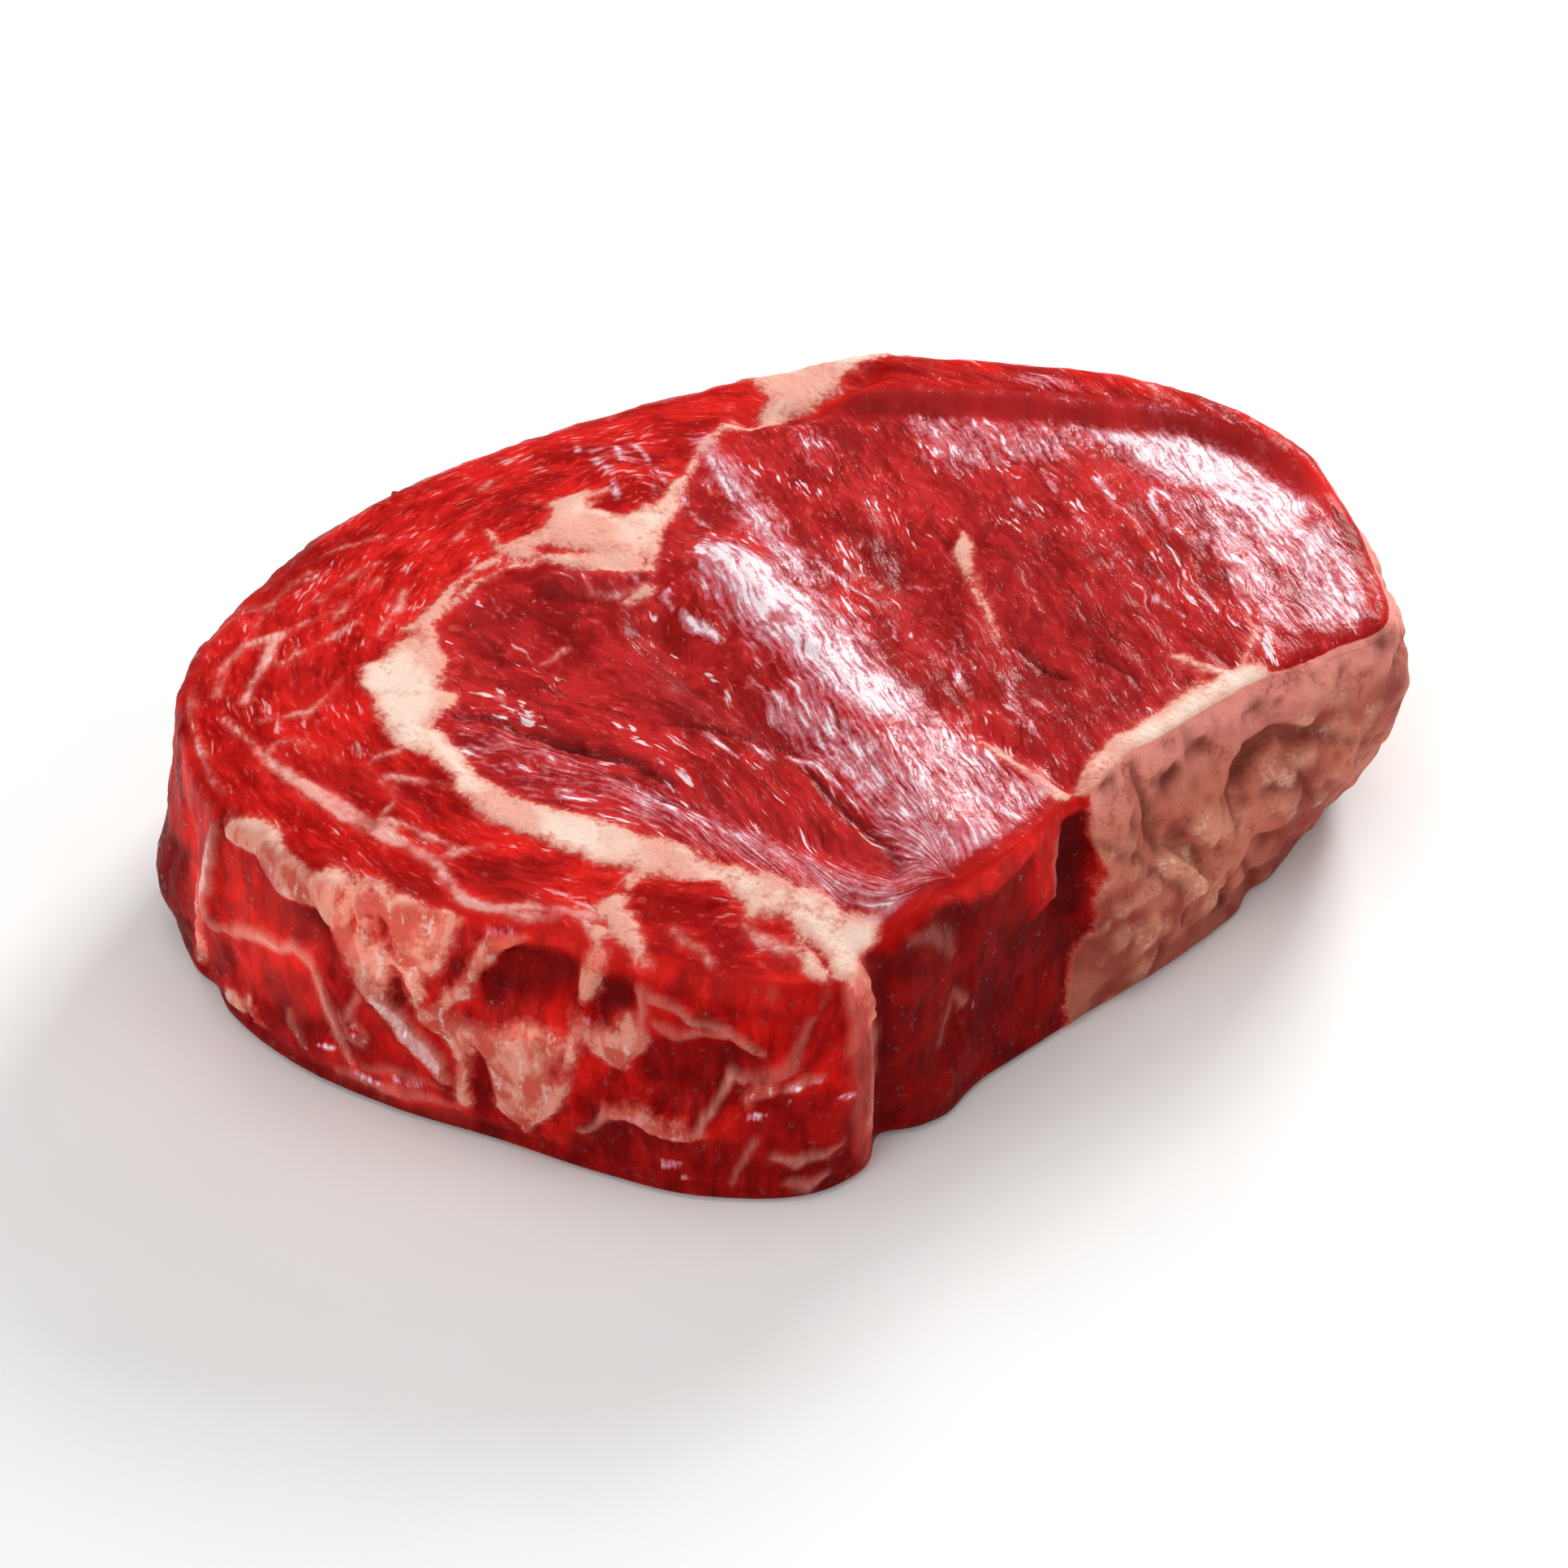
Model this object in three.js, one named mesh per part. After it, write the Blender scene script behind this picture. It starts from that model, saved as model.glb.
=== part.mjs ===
// A raw boneless ribeye steak lying on its lower cut face: one closed solid.
// Millimetres, +Z up, +X along the steak's length, the origin under the middle of its box.
// The rim of the upper cut face and the foot of the wall are two closed curves through the
// same landmarks. Rows of facets run down from rim to foot, and rings close in on the heart
// of each cut face. Swells and folds then raise or sink the upper face and the wall.
import * as THREE from "three";

const THICKNESS = 34; // cut thickness between the two faces
const FOOT_RADIUS = 1.8; // rounding where the wall turns under on to the lower face
const HEART = { x: 2, y: 1 }; // the point that the rings of both faces close in on
const SAG_POWER = 6; // how late the upper face starts to fall towards its rim
const HALF_RINGS = 21; // rings of the upper face, from the heart to the rim
const COLUMNS = 8 * HALF_RINGS; // facets round the rim
const EDGE_ROWS = 3; // rows over the rounded upper edge
const WALL_ROWS = 8;
const FOOT_ROWS = 2;
const LOWER_RINGS = [0.7, 0.35]; // rings of the flat lower face, as shares of its outline
const ARC_SAMPLES = 4000; // samples that measure the length of the rim
const SKIN = { color: 0xa81c20, roughness: 0.38, metalness: 0 };

// Anticlockwise from the pointed front corner. rim and foot are plan points of the outermost
// wall at the top and at the bottom. drop lowers the rim, edge rounds it, bulge swells the
// wall outwards at half height.
const LANDMARKS = [
  { name: "front corner", rim: [6, -54.5], foot: [5.5, -59.3], drop: 4, edge: 3.5, bulge: 0.5 },
  { name: "front lobe", rim: [17, -46.2], foot: [17.5, -47.6], drop: 0.5, edge: 2, bulge: 1 },
  { name: "flank", rim: [27, -37.5], foot: [28.2, -38.8], drop: 0, edge: 1.4, bulge: 0.8 },
  { name: "cap edge", rim: [35.5, -27.5], foot: [37, -31.2], drop: 0, edge: 1.6, bulge: 0.6 },
  { name: "cap near", rim: [46, -17.5], foot: [48, -22.2], drop: 0, edge: 3, bulge: 1.2 },
  { name: "cap middle", rim: [57, -8.5], foot: [58, -12.6], drop: 0, edge: 3, bulge: 1.8 },
  { name: "cap far", rim: [67.5, -2.2], foot: [66.3, 0], drop: 0, edge: 3, bulge: 3 },
  { name: "cap corner", rim: [75.4, 3.5], foot: [71, 8.5], drop: 0, edge: 3, bulge: 4 },
  { name: "right side", rim: [75.3, 16.5], foot: [73.5, 19], drop: 0.3, edge: 3, bulge: 3 },
  { name: "lip end", rim: [71.9, 31], foot: [70.5, 32], drop: 0.2, edge: 2.5, bulge: 2.5 },
  { name: "lip shoulder", rim: [65.2, 42.8], foot: [64, 41.5], drop: 0.4, edge: 2.5, bulge: 2 },
  { name: "lip", rim: [55.2, 50.8], foot: [54.5, 49.2], drop: 0.2, edge: 2.5, bulge: 2 },
  { name: "lip back", rim: [42.5, 55.4], foot: [42.5, 54], drop: 0, edge: 2.5, bulge: 2 },
  { name: "back right", rim: [28.5, 58.2], foot: [28.5, 57], drop: 0.2, edge: 2.5, bulge: 2 },
  { name: "back", rim: [14, 59.8], foot: [14, 58.5], drop: 0.4, edge: 2.5, bulge: 2 },
  { name: "back fat", rim: [0, 57.9], foot: [0, 56], drop: 0, edge: 3, bulge: 2 },
  { name: "back left", rim: [-13, 54.2], foot: [-13, 52], drop: 0.6, edge: 3.5, bulge: 2 },
  { name: "brow one", rim: [-25, 50], foot: [-25.5, 47.6], drop: 1.2, edge: 4, bulge: 2 },
  { name: "brow two", rim: [-37.2, 43.6], foot: [-38, 41.2], drop: 1.5, edge: 4, bulge: 2 },
  { name: "brow three", rim: [-48.6, 35.5], foot: [-50, 33.5], drop: 1.5, edge: 4, bulge: 2 },
  { name: "brow four", rim: [-58.6, 25.6], foot: [-60.4, 24], drop: 1.5, edge: 4, bulge: 2 },
  { name: "temple", rim: [-65.6, 13.2], foot: [-68.6, 12.5], drop: 1.2, edge: 3.5, bulge: 2 },
  { name: "left tip", rim: [-70.4, 2.4], foot: [-73.4, 1], drop: 0.6, edge: 3, bulge: 2 },
  { name: "left", rim: [-72, -9], foot: [-74.6, -11], drop: 0.4, edge: 3, bulge: 0.8 },
  { name: "left low", rim: [-70.2, -19], foot: [-71.8, -22.8], drop: 0, edge: 2.5, bulge: 0 },
  { name: "tail", rim: [-65.4, -28.5], foot: [-65.3, -32.8], drop: 0, edge: 2.5, bulge: 0.6 },
  { name: "tail low", rim: [-57, -37], foot: [-56.2, -40.8], drop: 0, edge: 2.5, bulge: 0.4 },
  { name: "front left", rim: [-46, -43], foot: [-45.2, -46.8], drop: 0.3, edge: 2.5, bulge: 0.4 },
  { name: "front middle", rim: [-34, -47], foot: [-33, -51.6], drop: 0.6, edge: 2.5, bulge: 0.4 },
  { name: "front", rim: [-22, -50.3], foot: [-21, -56.8], drop: 1.2, edge: 2.5, bulge: 0.4 },
  { name: "front right", rim: [-10, -53.6], foot: [-9, -60.4], drop: 2.4, edge: 3, bulge: 0.4 },
];

// Rounded rises and hollows of the upper face: place, reach along X and Y, height.
const FACE_SWELLS = [
  { name: "head of the ridge", at: [-6, 12], reach: [7, 7], height: 1 },
  { name: "right lobe", at: [46, 20], reach: [16, 14], height: 1 },
  { name: "right hollow", at: [16, 14], reach: [7, 10], height: -1.6 },
  { name: "far hollow", at: [32, -6], reach: [10, 8], height: -1 },
  { name: "left hollow", at: [-28, -2], reach: [14, 10], height: -0.8 },
  { name: "fat kernel", at: [-26, 21], reach: [7, 5], height: 0.8 },
  { name: "crumbly fat", at: [-20, 33], reach: [6, 6], height: 1 },
  { name: "corner fall", at: [11, -48], reach: [7, 5], height: -1 },
];

// Long ridges and valleys of the upper face: the path along the crest, half width, height.
const FACE_FOLDS = [
  {
    name: "ridge between the two lobes of the eye",
    path: [[-8, 14], [0, 5], [5, -5], [10, -15], [15, -25], [18, -33]],
    reach: 6,
    height: 2,
  },
  { name: "valley left of the ridge", path: [[-15, 2], [-10, -8], [2, -19]], reach: 3, height: -1.4 },
  {
    name: "crease down to the front corner",
    path: [[-30, -16], [-12, -27], [-5, -31], [5, -36], [13, -40]],
    reach: 2,
    height: -0.9,
  },
  { name: "groove inside the fat cap", path: [[24, -17], [31, -23], [35, -27]], reach: 2, height: -0.8 },
  { name: "groove under the back fat", path: [[-4, 46], [4, 48], [12, 54]], reach: 2, height: -1.4 },
];

// The raised lip along the back right of the upper face, outside this edge.
const LIP = {
  edge: [[3, 49], [20, 48], [30, 47.4], [40, 45.8], [50, 44.6], [57, 41.6], [62, 37], [70, 28]],
  height: 1.7,
  slope: 1.5,
  fade: 0.12,
};

// Lumps and hollows of the wall: run along the rim from the front corner (anticlockwise is
// positive), height above the lower face, reach of each, and how far it stands out.
const WALL_SWELLS = [
  { name: "dark lump at the left foot", at: [-97, 9], reach: [8, 8], height: 3.6 },
  { name: "front corner lump", at: [-5, 31], reach: [7, 4], height: 1 },
  { name: "front corner belly", at: [-2, 12], reach: [8, 8], height: 0.8 },
  { name: "fat sheet", at: [-54, 28], reach: [6, 6], height: 0.8 },
  { name: "fat patch", at: [-38, 13], reach: [6, 6], height: 0.9 },
  { name: "round fat lump", at: [-25.3, 20.2], reach: [3.4, 3.4], height: 0.9 },
  { name: "recess over the fat patch", at: [-36, 26], reach: [6, 4], height: -1.2 },
  { name: "recess beside the round lump", at: [-15, 18], reach: [6, 4], height: -1.1 },
  { name: "foot of the front lobe", at: [16, 3], reach: [4, 7], height: 1.6 },
  { name: "hollow of the flank", at: [27, 13], reach: [8, 9], height: -1.2 },
  { name: "cavity beside the fat cap", at: [38.8, 23], reach: [3.2, 8], height: -3 },
  { name: "cap lump one", at: [46, 24], reach: [4, 4], height: 1.2 },
  { name: "cap lump two", at: [60, 22], reach: [5, 6], height: 1.7 },
  { name: "cap lump three", at: [73, 19], reach: [4, 4], height: 1.4 },
  { name: "cap lump four", at: [78, 28], reach: [4, 3], height: 0.9 },
  { name: "cap lump five", at: [52, 7], reach: [8, 5], height: 0.9 },
  { name: "cap lump six", at: [84, 17], reach: [5, 8], height: 1.1 },
  { name: "back lump one", at: [128, 12], reach: [10, 8], height: 1 },
  { name: "back lump two", at: [165, 20], reach: [12, 9], height: 1 },
  { name: "back hollow", at: [-175, 14], reach: [12, 8], height: -1.2 },
  { name: "brow lump", at: [-140, 13], reach: [12, 8], height: 1 },
];

// Creases and ridges of the wall: the path in the same run and height, half width, height.
const WALL_FOLDS = [
  {
    name: "crease beside the front corner",
    path: [[4.5, 34], [6.5, 28], [7.2, 20], [7, 13], [8.3, 6], [9, 0]],
    reach: 2.4,
    height: -2.2,
  },
  { name: "crease of the flank", path: [[17, 32], [19.5, 20], [17, 10]], reach: 2, height: -1.1 },
  { name: "groove of the fat cap", path: [[50, 32], [52, 22], [56, 17], [59, 13]], reach: 2, height: -1.3 },
  { name: "fold of the fat cap", path: [[66, 23], [66, 18], [70, 13], [72, 0]], reach: 2, height: -1.2 },
  { name: "arch of the fat cap", path: [[66, 22], [69, 25.5], [78, 25.5]], reach: 2, height: -1 },
  { name: "fold at the tail", path: [[-61, 27], [-64, 18], [-60, 5]], reach: 2, height: -0.9 },
  { name: "edge of the dark lump", path: [[-88, 24], [-87, 12], [-85, 0]], reach: 2.4, height: -1 },
  { name: "hooked strand", path: [[-78, 30], [-80.5, 21], [-80.5, 16]], reach: 2, height: 0.7 },
  { name: "edge of the fat sheet", path: [[-60, 33], [-58, 22], [-47, 9.5]], reach: 2, height: 1 },
  { name: "strand over the fat patch", path: [[-37, 31], [-42, 26], [-48, 18]], reach: 2, height: 0.8 },
  {
    name: "strand right of the fat patch",
    path: [[-36.5, 6.5], [-31.5, 15], [-28, 27], [-25, 33]],
    reach: 2,
    height: 0.9,
  },
  { name: "upper membrane", path: [[-22, 27.5], [-17, 26.5], [-9, 23]], reach: 2, height: 0.8 },
  {
    name: "lower membrane",
    path: [[-29, 8], [-24.5, 12.3], [-19, 10], [-15.5, 11], [-11.5, 18.5], [-5, 20]],
    reach: 2,
    height: 1,
  },
];

// Closed curves through the landmarks; the third coordinate carries drop or bulge.
function curveThrough(pointOf) {
  const curve = new THREE.CatmullRomCurve3(LANDMARKS.map(pointOf), true, "centripetal");
  curve.arcLengthDivisions = ARC_SAMPLES;
  return curve;
}
const rimCurve = curveThrough((l) => new THREE.Vector3(l.rim[0], l.rim[1], -l.drop));
const footCurve = curveThrough((l) => new THREE.Vector3(l.foot[0], l.foot[1], l.bulge));
const rimLength = rimCurve.getLength();

// The rounding radius of the upper edge, eased from each landmark to the next.
function edgeRadius(t) {
  const place = t * LANDMARKS.length;
  const i = Math.floor(place) % LANDMARKS.length;
  const next = LANDMARKS[(i + 1) % LANDMARKS.length];
  return THREE.MathUtils.lerp(
    LANDMARKS[i].edge,
    next.edge,
    THREE.MathUtils.smoothstep(place - Math.floor(place), 0, 1),
  );
}

// Nearest approach of (x, y) to a path: off = distance, run = share of the path's length
// already covered there, left = true on the left of its direction.
function nearest(x, y, path) {
  const spans = path.slice(1).map((b, i) => Math.hypot(b[0] - path[i][0], b[1] - path[i][1]));
  const total = spans.reduce((sum, span) => sum + span, 0);
  let best = { off: Infinity, run: 0, left: true };
  let covered = 0;
  spans.forEach((span, i) => {
    const [ax, ay] = path[i];
    const ux = (path[i + 1][0] - ax) / span;
    const uy = (path[i + 1][1] - ay) / span;
    const along = THREE.MathUtils.clamp((x - ax) * ux + (y - ay) * uy, 0, span);
    const off = Math.hypot(x - ax - along * ux, y - ay - along * uy);
    if (off < best.off)
      best = {
        off,
        run: (covered + along) / total,
        left: ux * (y - ay) - uy * (x - ax) > 0,
      };
    covered += span;
  });
  return best;
}

const bell = (q) => Math.exp(-q * q);

// Sum of the swells and folds at (x, y).
function relief(x, y, swells, folds) {
  let sum = 0;
  for (const { at, reach, height } of swells)
    sum += height * bell((x - at[0]) / reach[0]) * bell((y - at[1]) / reach[1]);
  for (const { path, reach, height } of folds)
    sum += height * bell(nearest(x, y, path).off / reach);
  return sum;
}

// Height of the upper face over its mean plane, without the fall towards the rim.
function faceRelief(x, y) {
  const { off, run, left } = nearest(x, y, LIP.edge);
  const ends =
    THREE.MathUtils.smoothstep(run, 0, LIP.fade) * THREE.MathUtils.smoothstep(1 - run, 0, LIP.fade);
  const step = THREE.MathUtils.smoothstep(left ? off : -off, -LIP.slope, LIP.slope);
  return relief(x, y, FACE_SWELLS, FACE_FOLDS) + LIP.height * step * ends;
}

// One column of the wall: its landmarks' values at a share u of the way round the rim.
function columnAt(u) {
  const t = rimCurve.getUtoTmapping(u);
  const rim = rimCurve.getPoint(t);
  const foot = footCurve.getPoint(t);
  const along = rimCurve.getTangent(t);
  const out = new THREE.Vector2(along.y, -along.x).normalize();
  const edge = edgeRadius(t);
  const drop = -rim.z;
  const run = (u < 0.5 ? u : u - 1) * rimLength;
  const top = THICKNESS - drop + faceRelief(rim.x - out.x * edge, rim.y - out.y * edge);
  return { rim, foot, out, edge, drop, run, top, bulge: foot.z };
}

// The wall point of a column at height z, moved inwards by inset where an edge is rounded.
function wallPoint(column, z, inset) {
  const { rim, foot, out, bulge, run, top } = column;
  const down = THREE.MathUtils.clamp(1 - z / top, 0, 1);
  const stand = bulge * Math.sin(Math.PI * down) + relief(run, z, WALL_SWELLS, WALL_FOLDS);
  return new THREE.Vector3(
    THREE.MathUtils.lerp(rim.x, foot.x, down) + out.x * (stand - inset),
    THREE.MathUtils.lerp(rim.y, foot.y, down) + out.y * (stand - inset),
    z,
  );
}

// The points of a column from the edge of the upper face down to the lower face.
function columnPoints(column) {
  const { edge, top } = column;
  const points = [];
  for (let i = 0; i <= EDGE_ROWS; i++) {
    const turn = (i / EDGE_ROWS) * (Math.PI / 2);
    points.push(wallPoint(column, top - edge * (1 - Math.cos(turn)), edge * (1 - Math.sin(turn))));
  }
  for (let i = 1; i <= WALL_ROWS; i++)
    points.push(wallPoint(column, THREE.MathUtils.lerp(top - edge, FOOT_RADIUS, i / WALL_ROWS), 0));
  for (let i = 1; i <= FOOT_ROWS; i++) {
    const turn = (i / FOOT_ROWS) * (Math.PI / 2);
    points.push(
      wallPoint(column, FOOT_RADIUS * (1 - Math.sin(turn)), FOOT_RADIUS * (1 - Math.cos(turn))),
    );
  }
  return points;
}

// The steak's surface as loose triangles, outward side anticlockwise.
function steakGeometry() {
  const columns = Array.from({ length: COLUMNS }, (_, i) => columnAt(i / COLUMNS));
  const rows = columns.map(columnPoints);
  const corners = [];
  const triangle = (a, b, c) => corners.push(a, b, c);
  const quad = (a, b, c, d) => {
    triangle(a, b, c);
    triangle(a, c, d);
  };

  rows.forEach((column, i) => {
    const next = rows[(i + 1) % COLUMNS];
    for (let j = 1; j < column.length; j++) quad(column[j], next[j], next[j - 1], column[j - 1]);
  });

  // The upper face is a square grid bent to the rim: ring m of it has 8 m points.
  const facePoint = (i, j) => {
    const m = Math.max(Math.abs(i), Math.abs(j));
    if (m === 0) return new THREE.Vector3(HEART.x, HEART.y, THICKNESS + faceRelief(HEART.x, HEART.y));
    let step;
    if (j === -m) step = i + m;
    else if (i === m) step = 3 * m + j;
    else if (j === m) step = 5 * m - i;
    else step = 7 * m - j;
    const u = (step / (8 * m)) % 1;
    if (m === HALF_RINGS) return rows[Math.round(u * COLUMNS) % COLUMNS][0];
    const column = columnAt(u);
    const rim = wallPoint(column, column.top, column.edge);
    const share = m / HALF_RINGS;
    const x = THREE.MathUtils.lerp(HEART.x, rim.x, share);
    const y = THREE.MathUtils.lerp(HEART.y, rim.y, share);
    return new THREE.Vector3(x, y, THICKNESS + faceRelief(x, y) - column.drop * share ** SAG_POWER);
  };
  const grid = [];
  for (let i = -HALF_RINGS; i <= HALF_RINGS; i++) {
    grid.push([]);
    for (let j = -HALF_RINGS; j <= HALF_RINGS; j++) grid.at(-1).push(facePoint(i, j));
  }
  for (let i = 0; i < 2 * HALF_RINGS; i++)
    for (let j = 0; j < 2 * HALF_RINGS; j++)
      quad(grid[i][j], grid[i + 1][j], grid[i + 1][j + 1], grid[i][j + 1]);

  // The flat lower face: two rings and a fan round the heart.
  const heart = new THREE.Vector3(HEART.x, HEART.y, 0);
  let outer = rows.map((column) => column.at(-1));
  for (const share of LOWER_RINGS) {
    const inner = rows.map((column) => heart.clone().lerp(column.at(-1), share));
    outer.forEach((point, i) => {
      const k = (i + 1) % COLUMNS;
      quad(point, inner[i], inner[k], outer[k]);
    });
    outer = inner;
  }
  outer.forEach((point, i) => triangle(point, heart, outer[(i + 1) % COLUMNS]));

  return new THREE.BufferGeometry().setFromPoints(corners);
}

const geometry = steakGeometry();
geometry.computeBoundingBox();
const middle = geometry.boundingBox.getCenter(new THREE.Vector3());
geometry.translate(-middle.x, -middle.y, 0);
geometry.computeVertexNormals();

const steak = new THREE.Mesh(geometry, new THREE.MeshStandardMaterial(SKIN));
steak.name = "steak";

const part = new THREE.Group();
part.add(steak);

export default part;
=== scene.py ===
"""A raw boneless ribeye steak on a pale studio floor.

The steak is one closed surface. Its form follows the CAD solid: a rim and a foot curve through
named landmarks, swells and folds. On it lie finer furrows, seams, strands and lumps. Each point
also carries how deep it lies in fat, film, sheen and shade, in millimetres or shares, and the
finish reads those to colour the meat. Sheen, glints, shade and some light are painted into that
colour.
"""

import logging
import math
from collections.abc import Callable
from dataclasses import dataclass, field

import bpy
import numpy as np
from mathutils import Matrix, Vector


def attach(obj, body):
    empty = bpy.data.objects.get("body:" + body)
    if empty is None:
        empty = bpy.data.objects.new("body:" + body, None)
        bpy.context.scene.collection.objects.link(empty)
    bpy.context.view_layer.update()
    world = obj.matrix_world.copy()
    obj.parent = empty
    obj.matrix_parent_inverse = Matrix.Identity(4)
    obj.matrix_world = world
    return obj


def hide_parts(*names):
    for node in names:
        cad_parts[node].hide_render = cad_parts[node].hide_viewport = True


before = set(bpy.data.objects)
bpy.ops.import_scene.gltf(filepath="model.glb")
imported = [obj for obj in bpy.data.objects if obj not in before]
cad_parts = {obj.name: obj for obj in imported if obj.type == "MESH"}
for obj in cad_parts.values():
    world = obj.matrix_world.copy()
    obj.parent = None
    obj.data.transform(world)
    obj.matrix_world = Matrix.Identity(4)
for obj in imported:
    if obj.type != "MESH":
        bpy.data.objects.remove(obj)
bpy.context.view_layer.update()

MM = 0.001  # metres in a millimetre
LOG = logging.getLogger("ribeye")

Array = np.ndarray
Point = tuple[float, float]
Triple = tuple[float, float, float]
Field = Callable[[Array, Array], Array]  # a value at places
Socket = bpy.types.NodeSocket
Value = Socket | float | tuple[float, ...]  # what a node's input takes


# -------- curves and fields


def ease(low: float, high: float, x: Array) -> Array:
    """Smooth step: 0 below low, 1 above high, and 3 q^2 - 2 q^3 between.

    Args:
        low: where the step starts.
        high: where it ends.
        x: the values.

    Returns:
        The step at each value.
    """
    q = np.clip((x - low) / (high - low), 0.0, 1.0)
    return q * q * (3.0 - 2.0 * q)


def bell(q: Array) -> Array:
    """The bell exp(-q^2)."""
    return np.exp(-q * q)


def nearest(x: Array, y: Array, path: tuple[Point, ...]) -> tuple[Array, Array, Array]:
    """Nearest approach of points to a path: the least distance to any of its spans.

    Args:
        x: first coordinates.
        y: second coordinates.
        path: the path's corners.

    Returns:
        The distance, the share of the path's length covered there, and True on its left.
    """
    corners = np.asarray(path, float)[:, :2]
    spans = np.linalg.norm(np.diff(corners, axis=0), axis=1)
    best = np.full(x.shape, np.inf)
    run = np.zeros(x.shape)
    left = np.ones(x.shape, bool)
    covered = 0.0
    for (ax, ay), (bx, by), span in zip(corners[:-1], corners[1:], spans):
        ux, uy = (bx - ax) / span, (by - ay) / span
        along = np.clip((x - ax) * ux + (y - ay) * uy, 0.0, span)
        off = np.hypot(x - ax - along * ux, y - ay - along * uy)
        closer = off < best
        best = np.where(closer, off, best)
        run = np.where(closer, (covered + along) / spans.sum(), run)
        left = np.where(closer, ux * (y - ay) - uy * (x - ax) > 0.0, left)
        covered += span
    return best, run, left


def lattice_noise(x: Array, y: Array, seed: int) -> Array:
    """Smooth noise from -1 to 1: random values on a unit lattice, eased between its points.

    Args:
        x: first coordinates, in lattice steps.
        y: second coordinates, in lattice steps.
        seed: which noise.

    Returns:
        The noise at each point.
    """
    side = 256  # lattice points before the noise repeats
    table = np.random.default_rng(seed).uniform(-1.0, 1.0, (side, side))
    i, j = np.floor(x).astype(int), np.floor(y).astype(int)
    fx, fy = x - i, y - j
    fx, fy = fx * fx * (3 - 2 * fx), fy * fy * (3 - 2 * fy)
    i0, j0, i1, j1 = i % side, j % side, (i + 1) % side, (j + 1) % side
    low = table[i0, j0] * (1 - fx) + table[i1, j0] * fx
    high = table[i0, j1] * (1 - fx) + table[i1, j1] * fx
    return low * (1 - fy) + high * fy


def rough_noise(x: Array, y: Array, seed: int, octaves: int = 3) -> Array:
    """Noise of several scales: each octave is twice as fine and half as strong.

    Args:
        x: first coordinates, in steps of the coarsest octave.
        y: second coordinates, in the same steps.
        seed: which noise.
        octaves: how many scales.

    Returns:
        The noise at each point, about -1 to 1.
    """
    shift_x, shift_y = 17.3, -9.1  # lattice steps, so that the octaves' points don't coincide
    total = np.zeros(x.shape)
    for k in range(octaves):
        total += lattice_noise(x * 2**k + shift_x * k, y * 2**k + shift_y * k, seed + k) / 2**k
    return total / (2.0 - 2.0 ** (1 - octaves))


@dataclass(frozen=True)
class Ripple:
    """Uneven waves: a size along each axis, a height, and which noise they are."""

    size: Point
    height: float
    seed: int
    octaves: int = 3

    def at_points(self, x: Array, y: Array) -> Array:
        """The rise at each point."""
        return self.height * rough_noise(x / self.size[0], y / self.size[1], self.seed, self.octaves)


@dataclass(frozen=True)
class Wander:
    """Moves places about by noise, so that the outlines of tissues run ragged."""

    reach: float
    step: float
    seed: int
    apart: float = 40.0  # steps between the noise of the two coordinates
    seeds: int = 3  # how many the first noise takes, one for each octave

    def moved(self, x: Array, y: Array) -> tuple[Array, Array]:
        """Each coordinate plus reach times its own noise, whose waves are step long."""
        i, j, apart, after = x / self.step, y / self.step, self.apart, self.seed + self.seeds
        return (
            x + self.reach * rough_noise(i, j, self.seed),
            y + self.reach * rough_noise(i + apart, j + apart, after),
        )


@dataclass(frozen=True)
class Swell:
    """A rounded rise or hollow: height times a bell along each axis."""

    at: Point
    reach: Point
    height: float

    def at_points(self, x: Array, y: Array) -> Array:
        """The rise at each point."""
        across, up = bell((x - self.at[0]) / self.reach[0]), bell((y - self.at[1]) / self.reach[1])
        return self.height * across * up


@dataclass(frozen=True)
class Fold:
    """A long ridge or valley: height times a bell of the distance to a path."""

    path: tuple[Point, ...]
    reach: float
    height: float

    def at_points(self, x: Array, y: Array) -> Array:
        """The rise at each point."""
        return self.height * bell(nearest(x, y, self.path)[0] / self.reach)


@dataclass(frozen=True)
class Stroke:
    """A line that tapers, with a strength: each corner is a place and a half width."""

    path: tuple[Triple, ...]
    weight: float = 1.0

    def depth(self, x: Array, y: Array) -> Array:
        """How far inside the stroke each point lies: half width less distance.

        Args:
            x: first coordinates.
            y: second coordinates.

        Returns:
            The depth at each point, negative outside.
        """
        best = np.full(x.shape, -np.inf)
        for (ax, ay, aw), (bx, by, bw) in zip(self.path[:-1], self.path[1:]):
            ux, uy = bx - ax, by - ay
            q = np.clip(((x - ax) * ux + (y - ay) * uy) / (ux * ux + uy * uy), 0.0, 1.0)
            best = np.maximum(best, aw + (bw - aw) * q - np.hypot(x - ax - q * ux, y - ay - q * uy))
        return best


@dataclass(frozen=True)
class Patch:
    """A closed outline with a strength."""

    path: tuple[Point, ...]
    weight: float = 1.0

    def depth(self, x: Array, y: Array) -> Array:
        """How far inside the outline each point lies, by crossings and least distance.

        Args:
            x: first coordinates.
            y: second coordinates.

        Returns:
            The depth at each point, negative outside.
        """
        inside = np.zeros(x.shape, bool)
        for (ax, ay), (bx, by) in zip(self.path, self.path[1:] + self.path[:1]):
            if ay != by:
                inside ^= ((ay > y) != (by > y)) & (x < ax + (y - ay) * (bx - ax) / (by - ay))
        off = nearest(x, y, self.path + self.path[:1])[0]
        return np.where(inside, off, -off)


@dataclass(frozen=True)
class Welt:
    """A raised roll along a stroke: height times the square root of its depth over its width."""

    line: Stroke
    width: float
    height: float

    def at_points(self, x: Array, y: Array) -> Array:
        """The rise at each point."""
        return self.height * np.sqrt(np.clip(self.line.depth(x, y) / self.width, 0.0, 1.0))


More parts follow.
